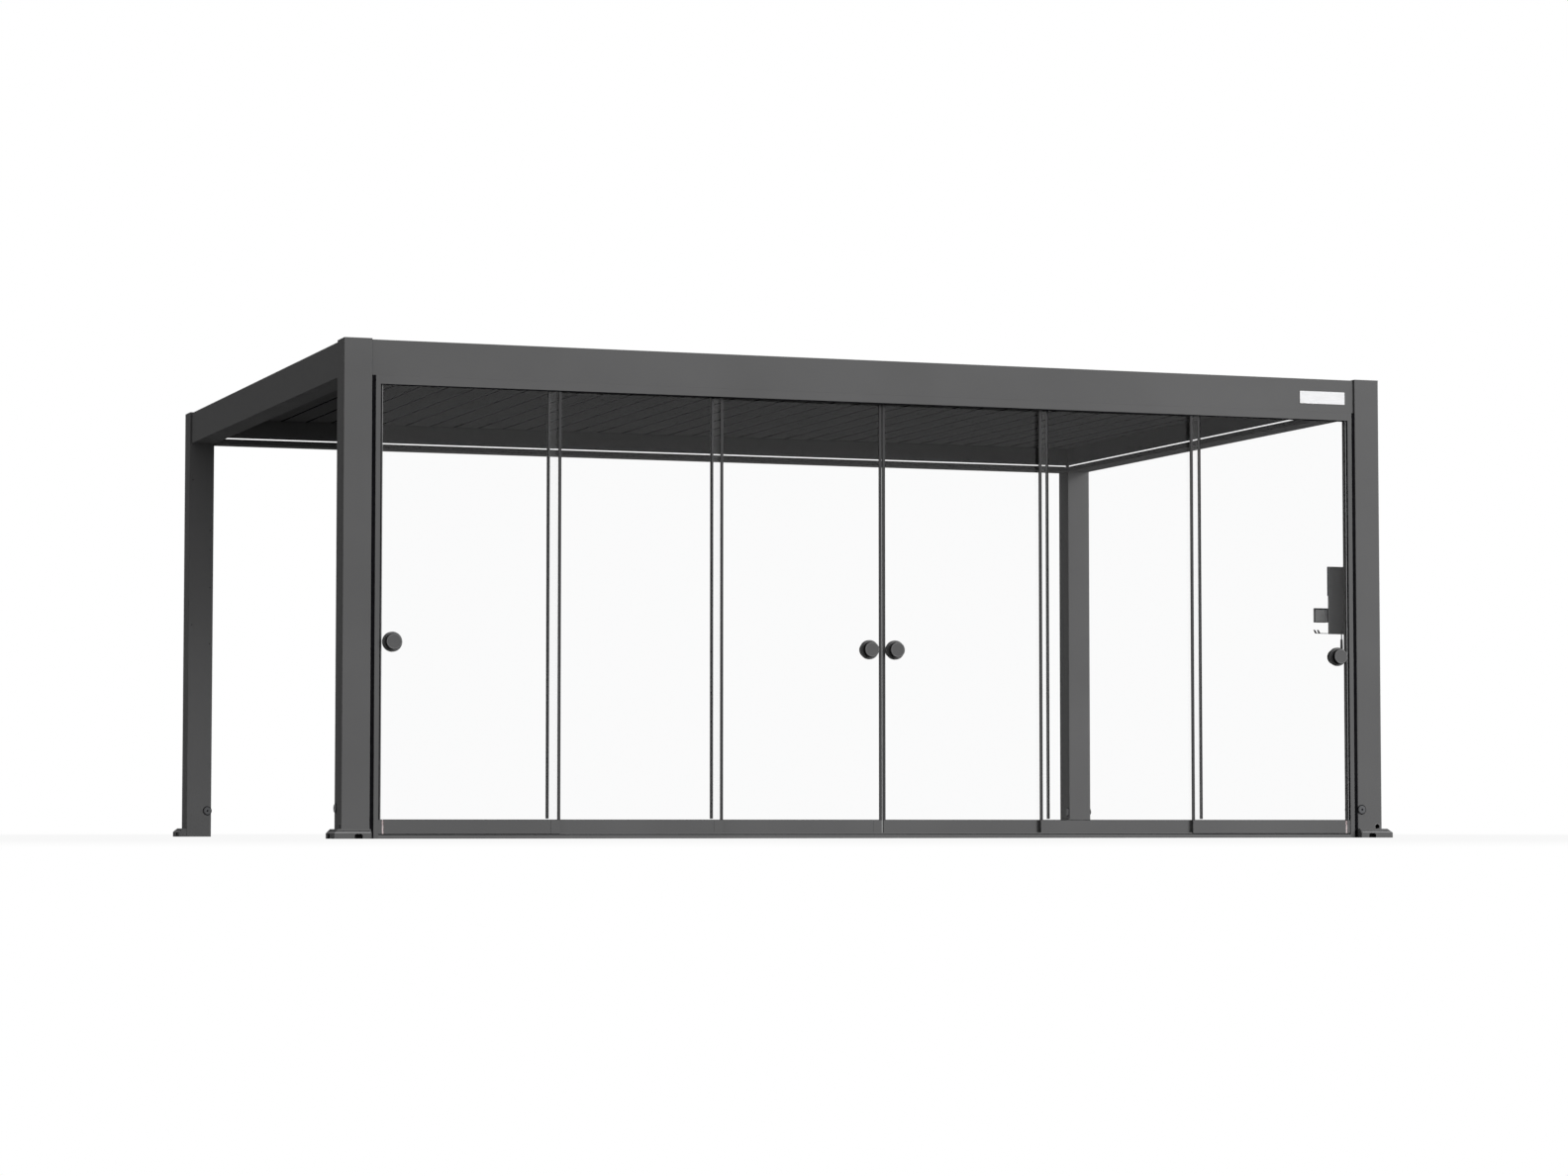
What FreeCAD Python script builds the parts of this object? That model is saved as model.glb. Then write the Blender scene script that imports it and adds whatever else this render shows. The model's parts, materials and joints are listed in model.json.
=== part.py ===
"""A free-standing louvred patio frame whose front bay is closed by a six-leaf sliding glass door.

Millimetres. +X runs along the front from left to right, +Y from the front to the rear, +Z up.
The origin is on the ground, at the centre of the plan.
"""

import math
import os

import FreeCAD
import Part

Vector = FreeCAD.Vector
OUT = "parts"

# Overall frame
FRAME_LENGTH = 6000.0
FRAME_DEPTH = 4150.0
FRAME_TOP = 2585.0
BEAM_HEIGHT = 185.0

# Posts
POST_SIZE = 150.0
POST_WALL = 3.0
POST_EDGE_RADIUS = 3.0
CAP_THICKNESS = 5.0
CAP_CHAMFER = 1.5
OUTLET_WIDTH = 28.0
OUTLET_HEIGHT = 26.0
OUTLET_SILL = 50.5
OUTLET_OFFSET = 47.0

# Post feet: inner bracket, through bolt and the cover round the two outer sides
BRACKET_GAP = 0.25
BRACKET_WALL = 4.0
BRACKET_HEIGHT = 220.0
BRACKET_PLATE = 8.0
ANCHOR_SPACING = 90.0
ANCHOR_RADIUS = 6.0
BOLT_HEIGHT = 157.0
BOLT_OFFSET = 51.0
BOLT_RADIUS = 5.5
BOLT_HOLE_GAP = 0.5
BOLT_HEAD_RADIUS = 23.0
BOLT_HEAD_HEIGHT = 7.0
BOLT_DOME = 3.0
BOLT_SOCKET_RADIUS = 6.0
BOLT_SOCKET_DEPTH = 4.0
COVER_PROUD = 45.0
COVER_HEIGHT = 50.0
COVER_BEVEL = 22.0
COVER_WALL = 3.0
COVER_ARCH_WIDTH = 43.0
COVER_ARCH_HEIGHT = 25.0
COVER_ARCH_RADIUS = 11.0
COVER_ARCH_SHIFT = 7.0

# Beams: an outer box section, set back from the posts' faces, with a gutter section behind it
BEAM_SETBACK = 12.0
BEAM_BOX_DEPTH = 48.0
BEAM_WALL = 2.5
GUTTER_WALL = 2.5
GUTTER_BOX_HEIGHT = 60.0
GUTTER_LIP_DROP = 32.3
LED_HEIGHT = 11.0
LED_DEPTH = 5.0
LED_SILL = 28.0
LED_END_GAP = 20.0

# Roof louvres, which lie front to rear on the gutter lips
LOUVRE_NOMINAL_PITCH = 156.8
LOUVRE_SEAM = 4.0
LOUVRE_THICKNESS = 30.0
LOUVRE_WALL = 1.6
LOUVRE_SEAT_GAP = 0.3
LOUVRE_OVER_GUTTER = 30.0
LOUVRE_HOOK_DROP = 15.0
LOUVRE_HOOK_GAP = 3.0
LOUVRE_HOOK_WIDTH = 3.0
LOUVRE_LIP_WIDTH = 2.0
LOUVRE_LIP_HEIGHT = 20.0
LOUVRE_CHANNEL_FLOOR = 10.0
TRIM_WIDTH = 106.0
TRIM_GAP = 2.0

# Door frame: a top and a bottom track with three channels, and side jambs that hold the outer leaves
JAMB_GAP = 20.0
SEAL_RECESS = 12.0
TRACK_PITCH = 22.0
TRACK_COUNT = 3
FIN = 2.0
JAMB_REACH = 26.0
TOP_TRACK_HEIGHT = 46.0
TRACK_BASE = 3.0
TRACK_LIP_HEIGHT = 19.0
RIB_WIDTH = 4.0
RIB_HEIGHT = 30.0

# Door leaves, numbered from left to right
LEAVES_A_SIDE = 3
FIRST_LEAF, LAST_LEAF = 1, 2 * LEAVES_A_SIDE
GLASS_THICKNESS = 8.0
GLASS_TOP_GAP = 14.0
STRIP_WIDTH = 15.0
STRIP_DEPTH = 10.0
STRIP_WEB = 6.0
STRIP_SIDE_GAP = 0.1
STRIP_RAISE = 7.0
RAIL_GAP = 6.0
RAIL_TOP = 97.0
RAIL_DEPTH = 17.0
RAIL_INSET = 1.5
RAIL_CHANNEL = 14.0
RAIL_WEB_SILL = 60.0
RAIL_WEB = 3.0
RAIL_GLASS_GAP = 0.5
RAIL_END_LENGTH = 50.0
RAIL_SEAM = 1.0
BRUSH_WIDTH = 9.0
BRUSH_END_LENGTH = 20.0
BRUSH_RECESS = 0.5
MEETING_GAP = 5.0
INNER_LAP = 64.5
OUTER_LAP = 72.0
JAMB_LAP = 2.0

# Rollers inside the bottom rails
ROLLER_RADIUS = 12.0
ROLLER_FLANGE = 3.0
ROLLER_TREAD = 5.0
ROLLER_WIDTH = 8.0
ROLLER_AXLE = 3.0
ROLLER_SEAT_GAP = 0.3
ROLLER_INSET = 130.0

# Knobs on leaves 1, 3, 4 and 6
KNOB_HEIGHT = 1017.0
KNOB_INSET = 72.0
KNOB_ROSE_RADIUS = 52.0
KNOB_ROSE = 10.0
KNOB_ROSE_ROUND = 5.0
KNOB_NECK_RADIUS = 33.0
KNOB_CAP_RADIUS = 41.0
KNOB_CAP = 22.0
KNOB_REACH = 44.0
KNOB_EDGE = 3.0
KNOB_SPINDLE = 8.0
KNOB_HOLE_GAP = 2.0

# Bare plate on the front beam
PLATE_LENGTH = 281.0
PLATE_HEIGHT = 70.0
PLATE_THICKNESS = 3.0
PLATE_RIGHT_END = 208.0
PLATE_SILL = 45.0
PLATE_CORNER = 3.0

# Control box on the right front post, with a cup, hooks and a pull rod
BOX_WIDTH = 122.0
BOX_HEIGHT = 383.0
BOX_SILL = 1150.0
BOX_DEPTH = 30.0
BOX_CHAMFER = 3.0
CUP_SIZE = 80.0
CUP_SILL = 1216.0
CUP_WALL = 3.0
CUP_REACH = 12.0
HOOK_BAR = 6.0
HOOK_REACH = 76.0
HOOK_RISE = 20.0
HOOK_SPACING = 24.0
ROD_OFFSET = 24.0
ROD_RADIUS = 3.0
ROD_LENGTH = 28.0
GRIP_RADIUS = 8.0
GRIP_LENGTH = 78.0

# Sizes worked out from those above
HALF_LENGTH = FRAME_LENGTH / 2
HALF_DEPTH = FRAME_DEPTH / 2
POST_X = HALF_LENGTH - POST_SIZE / 2
POST_Y = HALF_DEPTH - POST_SIZE / 2
BAY_LENGTH = FRAME_LENGTH - 2 * POST_SIZE
BAY_DEPTH = FRAME_DEPTH - 2 * POST_SIZE
BEAM_UNDERSIDE = FRAME_TOP - BEAM_HEIGHT
BEAM_BACK = BEAM_SETBACK + BEAM_BOX_DEPTH
GUTTER_LIP = FRAME_TOP - GUTTER_LIP_DROP
LOUVRE_UNDERSIDE = GUTTER_LIP + LOUVRE_SEAT_GAP
LOUVRE_LENGTH = BAY_DEPTH + 2 * LOUVRE_OVER_GUTTER
ROOF_HALF = BAY_LENGTH / 2 - TRIM_WIDTH
LOUVRE_COUNT = round(2 * ROOF_HALF / LOUVRE_NOMINAL_PITCH)
LOUVRE_PITCH = 2 * ROOF_HALF / LOUVRE_COUNT
FRONT_FACE = -HALF_DEPTH
TRACK_DEPTH = TRACK_COUNT * TRACK_PITCH + FIN
JAMB_BACK = BAY_LENGTH / 2 - JAMB_GAP
JAMB_EDGE = JAMB_BACK - JAMB_REACH
DOOR_TOP = BEAM_UNDERSIDE
LEAF_WIDTH = (JAMB_EDGE + JAMB_LAP + OUTER_LAP + INNER_LAP - MEETING_GAP / 2) / LEAVES_A_SIDE
RAIL_BOTTOM = TRACK_LIP_HEIGHT + RAIL_GAP
GLASS_BOTTOM = RAIL_WEB_SILL + RAIL_WEB
GLASS_TOP = DOOR_TOP - FIN - GLASS_TOP_GAP
LEFT, RIGHT = -1, 1


def box(x0, x1, y0, y1, z0, z1):
    """A block between two corners."""
    return Part.makeBox(x1 - x0, y1 - y0, z1 - z0, Vector(x0, y0, z0))


def face(points):
    """A flat face with straight sides."""
    return Part.Face(Part.makePolygon([Vector(*p) for p in points + points[:1]]))


def along_x(section, x0, x1):
    """A bar with a (y, z) section."""
    return face([(x0, y, z) for y, z in section]).extrude(Vector(x1 - x0, 0, 0))


def along_y(section, y0, y1):
    """A bar with an (x, z) section."""
    return face([(x, y0, z) for x, z in section]).extrude(Vector(0, y1 - y0, 0))


def along_z(section, z0, z1):
    """A bar with an (x, y) section."""
    return face([(x, y, z0) for x, y in section]).extrude(Vector(0, 0, z1 - z0))


def revolve_y(profile, centre):
    """A turned piece about a line along Y; its profile is (radius, y) points."""
    outline = face([(radius, y, 0) for radius, y in profile])
    solid = outline.revolve(Vector(0, 0, 0), Vector(0, 1, 0), 360)
    return solid.translated(centre)


def edges_at(shape, test):
    """The edges whose two ends both pass a test."""
    return [e for e in shape.Edges if all(test(v.Point) for v in e.Vertexes)]


def near(a, b):
    return abs(a - b) < 1e-6


def turned(shape, degrees, x, y):
    """A copy turned about Z and moved in plan."""
    copy = shape.copy()
    copy.rotate(Vector(0, 0, 0), Vector(0, 0, 1), degrees)
    copy.translate(Vector(x, y, 0))
    return copy


def at_corners(shape):
    """The corner piece at each corner: front right, rear right, rear left, front left."""
    places = [(0, POST_X, -POST_Y), (90, POST_X, POST_Y), (180, -POST_X, POST_Y), (270, -POST_X, -POST_Y)]
    return [turned(shape, *place) for place in places]


def at_sides(long_shape, short_shape):
    """The side piece at each side: front, right, rear, left."""
    return [
        turned(long_shape, 0, 0, -HALF_DEPTH),
        turned(short_shape, 90, HALF_LENGTH, 0),
        turned(long_shape, 180, 0, HALF_DEPTH),
        turned(short_shape, 270, -HALF_LENGTH, 0),
    ]


def square_tube(size, wall, z0, z1, radius=0.0):
    """A hollow square tube centred on the Z axis."""
    half = size / 2
    outer = box(-half, half, -half, half, z0, z1)
    if radius:
        upright = [e for e in outer.Edges if near(e.Vertexes[0].X, e.Vertexes[1].X)
                   and near(e.Vertexes[0].Y, e.Vertexes[1].Y)]
        outer = outer.makeFillet(radius, upright)
    inside = half - wall
    return outer.cut(box(-inside, inside, -inside, inside, z0 - 1, z1 + 1))


def bolt_bore(radius):
    """The hole for the through bolt, along Y through a post foot."""
    return Part.makeCylinder(radius, 2 * POST_SIZE, Vector(-BOLT_OFFSET, -POST_SIZE, BOLT_HEIGHT), Vector(0, 1, 0))


def arch(width, height, radius, sill, y0, y1):
    """A cutter with a flat foot and a rounded head, along Y."""
    block = box(-width / 2, width / 2, y0, y1, sill, sill + height)
    head = [e for e in edges_at(block, lambda p: near(p.z, sill + height)) if near(*[v.X for v in e.Vertexes])]
    return block.makeFillet(radius, head)


def post():
    """A corner post with its rain outlet and bolt holes."""
    shape = square_tube(POST_SIZE, POST_WALL, 0, FRAME_TOP, POST_EDGE_RADIUS)
    front = -POST_SIZE / 2
    outlet = arch(OUTLET_WIDTH, OUTLET_HEIGHT, OUTLET_WIDTH / 2 - 0.5, OUTLET_SILL, front - 1, front + POST_WALL + 1)
    outlet.translate(Vector(OUTLET_OFFSET, 0, 0))
    return shape.cut(outlet).cut(bolt_bore(BOLT_RADIUS + BOLT_HOLE_GAP))


def post_cap():
    half = POST_SIZE / 2
    cap = box(-half, half, -half, half, FRAME_TOP, FRAME_TOP + CAP_THICKNESS)
    top = edges_at(cap, lambda p: near(p.z, FRAME_TOP + CAP_THICKNESS))
    return cap.makeChamfer(CAP_CHAMFER, top)


def foot_bracket():
    """The tube and anchor plate inside a post foot."""
    size = POST_SIZE - 2 * (POST_WALL + BRACKET_GAP)
    half = size / 2
    shape = square_tube(size, BRACKET_WALL, 0, BRACKET_HEIGHT).fuse(box(-half, half, -half, half, 0, BRACKET_PLATE))
    reach = ANCHOR_SPACING / 2
    for x in (-reach, reach):
        for y in (-reach, reach):
            shape = shape.cut(Part.makeCylinder(ANCHOR_RADIUS, 2 * BRACKET_PLATE, Vector(x, y, -1)))
    outlet = box(OUTLET_OFFSET - OUTLET_WIDTH / 2 - 1, OUTLET_OFFSET + OUTLET_WIDTH / 2 + 1,
                 -POST_SIZE, -half + BRACKET_WALL + 1, OUTLET_SILL - 1, OUTLET_SILL + OUTLET_HEIGHT + 1)
    shape = shape.cut(bolt_bore(BOLT_RADIUS + BOLT_HOLE_GAP)).cut(outlet)
    return shape.removeSplitter()


def foot_bolt():
    """The through bolt, with a domed head on each side of the post."""
    face_y = POST_SIZE / 2
    tip_y = face_y + BOLT_HEAD_HEIGHT
    shoulder_y = tip_y - BOLT_DOME
    rim = BOLT_HEAD_RADIUS - BOLT_DOME
    profile = [
        (0, -tip_y + BOLT_SOCKET_DEPTH), (BOLT_SOCKET_RADIUS, -tip_y + BOLT_SOCKET_DEPTH),
        (BOLT_SOCKET_RADIUS, -tip_y), (rim, -tip_y), (BOLT_HEAD_RADIUS, -shoulder_y),
        (BOLT_HEAD_RADIUS, -face_y), (BOLT_RADIUS, -face_y), (BOLT_RADIUS, face_y),
        (BOLT_HEAD_RADIUS, face_y), (BOLT_HEAD_RADIUS, shoulder_y), (rim, tip_y),
        (BOLT_SOCKET_RADIUS, tip_y), (BOLT_SOCKET_RADIUS, tip_y - BOLT_SOCKET_DEPTH), (0, tip_y - BOLT_SOCKET_DEPTH),
    ]
    return revolve_y(profile, Vector(-BOLT_OFFSET, 0, BOLT_HEIGHT))


def cover_block(inset, top, bevel):
    """The block of a foot cover, beveled along its two outer sides."""
    half = POST_SIZE / 2
    reach = half + COVER_PROUD - inset
    block = box(-half + inset, reach, -reach, half - inset, -inset, top)
    outer = edges_at(block, lambda p: near(p.z, top) and near(p.y, -reach))
    outer += edges_at(block, lambda p: near(p.z, top) and near(p.x, reach))
    return block.makeChamfer(bevel, outer)


def foot_cover():
    """A pressed cover round the two outer sides of a post foot, open below, with an arch in each side."""
    half = POST_SIZE / 2
    shell = cover_block(0, COVER_HEIGHT, COVER_BEVEL)
    shell = shell.cut(cover_block(COVER_WALL, COVER_HEIGHT - COVER_WALL, COVER_BEVEL - COVER_WALL / 2))
    shell = shell.cut(box(-half, half, -half, half, -1, COVER_HEIGHT + 1))
    outer = half + COVER_PROUD
    opening = arch(COVER_ARCH_WIDTH, COVER_ARCH_HEIGHT + 1, COVER_ARCH_RADIUS, -1,
                   -outer - 1, -outer + COVER_WALL + 1)
    first = opening.translated(Vector(-COVER_ARCH_SHIFT, 0, 0))
    second = turned(opening, 90, 0, COVER_ARCH_SHIFT)
    return shell.cut(first).cut(second)


def beam(length):
    """The outer box section of a beam, along X, with the posts' outer faces at y = 0."""
    outer = box(-length / 2, length / 2, BEAM_SETBACK, BEAM_BACK, BEAM_UNDERSIDE, FRAME_TOP)
    w = BEAM_WALL
    hollow = box(-length, length, BEAM_SETBACK + w, BEAM_BACK - w, BEAM_UNDERSIDE + w, FRAME_TOP - w)
    return outer.cut(hollow)


def gutter(length):
    """The gutter section behind a beam: a closed box below, an open channel above, and the light's groove."""
    w = GUTTER_WALL
    y0, y1 = BEAM_BACK, POST_SIZE
    z0, z1 = BEAM_UNDERSIDE, GUTTER_LIP
    floor = z0 + GUTTER_BOX_HEIGHT
    groove0, groove1 = z0 + LED_SILL, z0 + LED_SILL + LED_HEIGHT
    outline = [
        (y0, z0), (y1, z0), (y1, groove0), (y1 - LED_DEPTH, groove0), (y1 - LED_DEPTH, groove1),
        (y1, groove1), (y1, z1), (y1 - w, z1), (y1 - w, floor), (y0 + w, floor), (y0 + w, z1), (y0, z1),
    ]
    hollow = [
        (y0 + w, z0 + w), (y1 - w, z0 + w), (y1 - w, groove0 - w), (y1 - LED_DEPTH - w, groove0 - w),
        (y1 - LED_DEPTH - w, groove1 + w), (y1 - w, groove1 + w), (y1 - w, floor - w), (y0 + w, floor - w),
    ]
    return along_x(outline, -length / 2, length / 2).cut(along_x(hollow, -length, length))


def led_strip(length):
    """The light strip in a gutter's groove."""
    half = length / 2 - LED_END_GAP
    z0 = BEAM_UNDERSIDE + LED_SILL
    return box(-half, half, POST_SIZE - LED_DEPTH, POST_SIZE, z0, z0 + LED_HEIGHT)


def blade_section(left, right, has_channel, has_hook):
    """The outline and hollow of a flat roof blade, with a water channel on its left or a hook on its right."""
    lip = left + LOUVRE_LIP_WIDTH
    body = lip + 2 * LOUVRE_HOOK_GAP + LOUVRE_HOOK_WIDTH if has_channel else left
    hook_in = right + LOUVRE_SEAM + LOUVRE_LIP_WIDTH + LOUVRE_HOOK_GAP
    hook_out = hook_in + LOUVRE_HOOK_WIDTH
    top = LOUVRE_THICKNESS
    wall = LOUVRE_WALL
    channel = [
        (body, top), (body, LOUVRE_CHANNEL_FLOOR), (lip, LOUVRE_CHANNEL_FLOOR),
        (lip, LOUVRE_LIP_HEIGHT), (left, LOUVRE_LIP_HEIGHT),
    ]
    hook = [
        (right, top - LOUVRE_HOOK_WIDTH), (hook_in, top - LOUVRE_HOOK_WIDTH), (hook_in, LOUVRE_HOOK_DROP),
        (hook_out, LOUVRE_HOOK_DROP), (hook_out, top),
    ]
    outline = [(left, 0), (right, 0)]
    outline += hook if has_hook else [(right, top)]
    outline += channel if has_channel else [(left, top)]
    hollow = [(left + wall, wall), (right - wall, wall), (right - wall, top - wall), (body + wall, top - wall)]
    if has_channel:
        under = LOUVRE_CHANNEL_FLOOR - wall
        hollow += [(body + wall, under), (left + wall, under)]
    return outline, hollow


def blade(section, length):
    """A hollow bar from front to rear with a roof blade's section."""
    outline, hollow = section
    shape = along_y(outline, -length / 2, length / 2).cut(along_y(hollow, -length, length))
    return shape.translated(Vector(0, 0, LOUVRE_UNDERSIDE))


def louvres():
    """The row of closed louvres, which hook into each other's channels."""
    section = blade_section(LOUVRE_SEAM / 2, LOUVRE_PITCH - LOUVRE_SEAM / 2, True, True)
    one = blade(section, LOUVRE_LENGTH)
    return [one.translated(Vector(n * LOUVRE_PITCH - ROOF_HALF, 0, 0)) for n in range(LOUVRE_COUNT)]


def roof_trims():
    """The fixed blades that close the roof between the end louvres and the side gutters."""
    inner = ROOF_HALF + LOUVRE_SEAM / 2
    outer = BAY_LENGTH / 2 - TRIM_GAP
    left = blade(blade_section(-outer, -inner, False, True), LOUVRE_LENGTH)
    right = blade(blade_section(inner, outer, True, False), LOUVRE_LENGTH)
    return [left, right]


def roof_flashings():
    """The flat plates that carry rain from the fixed blades into the side gutters."""
    outer = BAY_LENGTH / 2 - TRIM_GAP
    lap = BAY_LENGTH / 2 + LOUVRE_OVER_GUTTER
    half = BAY_DEPTH / 2 - TRIM_GAP
    right = box(outer, lap, -half, half, LOUVRE_UNDERSIDE, LOUVRE_UNDERSIDE + LOUVRE_WALL)
    return [right.translated(Vector(-lap - outer, 0, 0)), right]


def fused(shapes):
    """One solid from pieces that touch."""
    return shapes[0].multiFuse(shapes[1:]).removeSplitter()


def track_bar(y0, y1, z0, z1):
    """A straight bar of a track, which runs from jamb to jamb."""
    return box(-JAMB_EDGE, JAMB_EDGE, y0, y1, z0, z1)


def top_track():
    """The plate of the top track, under the front beam."""
    return track_bar(FRONT_FACE, FRONT_FACE + TRACK_DEPTH, DOOR_TOP - FIN, DOOR_TOP)


def top_track_walls():
    """The walls under the top track's plate, which make three channels that open down."""
    fronts = [FRONT_FACE + n * TRACK_PITCH for n in range(TRACK_COUNT + 1)]
    return [track_bar(y, y + FIN, DOOR_TOP - TOP_TRACK_HEIGHT, DOOR_TOP - FIN) for y in fronts]


def track_line(track):
    """The y of a channel's middle: track 0 is the outermost."""
    return FRONT_FACE + FIN / 2 + (track + 0.5) * TRACK_PITCH


def bottom_track():
    """The flat base of the track on the ground."""
    return track_bar(FRONT_FACE, FRONT_FACE + TRACK_DEPTH, 0, TRACK_BASE)


def bottom_track_ribs():
    """The base's two lips, with one rib between them for each channel's rollers."""
    back = FRONT_FACE + TRACK_DEPTH
    lips = [track_bar(y, y + FIN, TRACK_BASE, TRACK_LIP_HEIGHT) for y in (FRONT_FACE, back - FIN)]
    fronts = [track_line(track) - RIB_WIDTH / 2 for track in range(TRACK_COUNT)]
    return lips + [track_bar(y, y + RIB_WIDTH, TRACK_BASE, RIB_HEIGHT) for y in fronts]


def jamb(side):
    """A side jamb: a channel in front, which holds the outer leaf's edge, and a closed box section behind it."""
    back_y = FRONT_FACE + TRACK_DEPTH
    box_y = FRONT_FACE + TRACK_PITCH
    outline = [(JAMB_BACK, FRONT_FACE), (JAMB_EDGE, FRONT_FACE), (JAMB_EDGE, FRONT_FACE + FIN),
               (JAMB_BACK - FIN, FRONT_FACE + FIN), (JAMB_BACK - FIN, box_y), (JAMB_EDGE, box_y),
               (JAMB_EDGE, back_y), (JAMB_BACK, back_y)]
    hollow = [(JAMB_EDGE + FIN, box_y + FIN), (JAMB_BACK - FIN, box_y + FIN), (JAMB_BACK - FIN, back_y - FIN),
              (JAMB_EDGE + FIN, back_y - FIN)]
    outer = along_z([(side * x, y) for x, y in outline], 0, DOOR_TOP)
    return outer.cut(along_z([(side * x, y) for x, y in hollow], -1, DOOR_TOP + 1))


def jamb_seals():
    """The black rubber between each jamb and its post."""
    right = box(JAMB_BACK, BAY_LENGTH / 2, FRONT_FACE + SEAL_RECESS, FRONT_FACE + TRACK_DEPTH, 0, DOOR_TOP)
    return [right, right.translated(Vector(-JAMB_BACK - BAY_LENGTH / 2, 0, 0))]


def rail_section(y):
    """A bottom rail's section: a slot for the glass above and a channel for the rollers below."""
    half, slot, channel = RAIL_DEPTH / 2, GLASS_THICKNESS / 2 + RAIL_GLASS_GAP, RAIL_CHANNEL / 2
    right = [(half, RAIL_TOP), (slot, RAIL_TOP), (slot, GLASS_BOTTOM)]
    left = [(-slot, GLASS_BOTTOM), (-slot, RAIL_TOP), (-half, RAIL_TOP), (-half, RAIL_BOTTOM),
            (-channel, RAIL_BOTTOM), (-channel, RAIL_WEB_SILL)]
    foot = [(channel, RAIL_WEB_SILL), (channel, RAIL_BOTTOM), (half, RAIL_BOTTOM)]
    return [(y + dy, z) for dy, z in right + left + foot]


def roller(x, y):
    """A flanged roller on its axle, which rides on the track's rib."""
    tread, width, axle = ROLLER_TREAD / 2, ROLLER_WIDTH / 2, RAIL_CHANNEL / 2
    flange = ROLLER_RADIUS + ROLLER_FLANGE
    profile = [(0, -axle), (ROLLER_AXLE, -axle), (ROLLER_AXLE, -width), (flange, -width), (flange, -tread),
               (ROLLER_RADIUS, -tread), (ROLLER_RADIUS, tread), (flange, tread), (flange, width),
               (ROLLER_AXLE, width), (ROLLER_AXLE, axle), (0, axle)]
    return revolve_y(profile, Vector(x, y, RIB_HEIGHT + ROLLER_SEAT_GAP + ROLLER_RADIUS))


def rail_brush(x_outer, y, inward):
    """The brush that fills the gap behind the outer end piece of an outer leaf's bottom rail."""
    inner = x_outer + inward * (RAIL_INSET + BRUSH_END_LENGTH + BRUSH_WIDTH)
    outer = inner - inward * BRUSH_WIDTH
    half, slot, channel = RAIL_DEPTH / 2 - BRUSH_RECESS, GLASS_THICKNESS / 2, RAIL_CHANNEL / 2
    x0, x1 = sorted((inner, outer))
    top = RAIL_TOP - BRUSH_RECESS
    section = [(y - half, RAIL_BOTTOM), (y - channel, RAIL_BOTTOM), (y - channel, RAIL_WEB_SILL),
               (y + channel, RAIL_WEB_SILL), (y + channel, RAIL_BOTTOM), (y + half, RAIL_BOTTOM), (y + half, top),
               (y + slot, top), (y + slot, GLASS_BOTTOM), (y - slot, GLASS_BOTTOM), (y - slot, top),
               (y - half, top)]
    return along_x(section, x0, x1)


def bottom_rail(number, x0, y):
    """A leaf's bottom rail with its rollers and its end pieces."""
    section = rail_section(y)
    start, end = x0 + RAIL_INSET, x0 + LEAF_WIDTH - RAIL_INSET
    pieces = [roller(x0 + ROLLER_INSET, y), roller(x0 + LEAF_WIDTH - ROLLER_INSET, y)]
    if number <= LEAVES_A_SIDE:
        pieces.append(along_x(section, end - RAIL_END_LENGTH, end))
        end -= RAIL_END_LENGTH + RAIL_SEAM
    if number == FIRST_LEAF:
        pieces.append(along_x(section, start, start + BRUSH_END_LENGTH))
        start += BRUSH_END_LENGTH + BRUSH_WIDTH
    if number == LAST_LEAF:
        pieces.append(along_x(section, end - BRUSH_END_LENGTH, end))
        end -= BRUSH_END_LENGTH + BRUSH_WIDTH
    return [along_x(section, start, end)] + pieces


def edge_strip(x_outer, y, inward, foot):
    """A channel strip on a vertical edge of the glass; inward is +1 on a left edge."""
    half, slot = STRIP_DEPTH / 2, GLASS_THICKNESS / 2 + STRIP_SIDE_GAP
    web, reach = x_outer + inward * STRIP_WEB, x_outer + inward * STRIP_WIDTH
    section = [(x_outer, y - half), (reach, y - half), (reach, y - slot), (web, y - slot),
               (web, y + slot), (reach, y + slot), (reach, y + half), (x_outer, y + half)]
    return along_z(section, foot, GLASS_TOP)


def edge_strips(number, x0, y):
    """A leaf's two edge strips; the one that stays behind the next leaf stops above the rail."""
    raised = RAIL_TOP + STRIP_RAISE
    left_foot = raised if FIRST_LEAF < number <= LEAVES_A_SIDE else RAIL_TOP
    right_foot = raised if LEAVES_A_SIDE < number < LAST_LEAF else RAIL_TOP
    return [edge_strip(x0, y, 1, left_foot), edge_strip(x0 + LEAF_WIDTH, y, -1, right_foot)]


def knob(x, y):
    """A turned knob on both faces of a leaf, joined by a spindle through the glass."""
    glass = GLASS_THICKNESS / 2
    rose, reach = glass + KNOB_ROSE, glass + KNOB_REACH
    neck = reach - KNOB_CAP
    half = [
        (KNOB_SPINDLE, 0), (KNOB_SPINDLE, glass), (KNOB_ROSE_RADIUS, glass),
        (KNOB_ROSE_RADIUS, rose - KNOB_ROSE_ROUND), (KNOB_ROSE_RADIUS - KNOB_ROSE_ROUND, rose),
        (KNOB_NECK_RADIUS, rose), (KNOB_NECK_RADIUS, neck), (KNOB_CAP_RADIUS - KNOB_EDGE, neck),
        (KNOB_CAP_RADIUS, neck + KNOB_EDGE), (KNOB_CAP_RADIUS, reach - KNOB_EDGE),
        (KNOB_CAP_RADIUS - KNOB_EDGE, reach), (0, reach),
    ]
    mirrored = [(radius, -dy) for radius, dy in reversed(half[1:])]
    return revolve_y(mirrored + half[1:], Vector(x, y, KNOB_HEIGHT))


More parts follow.
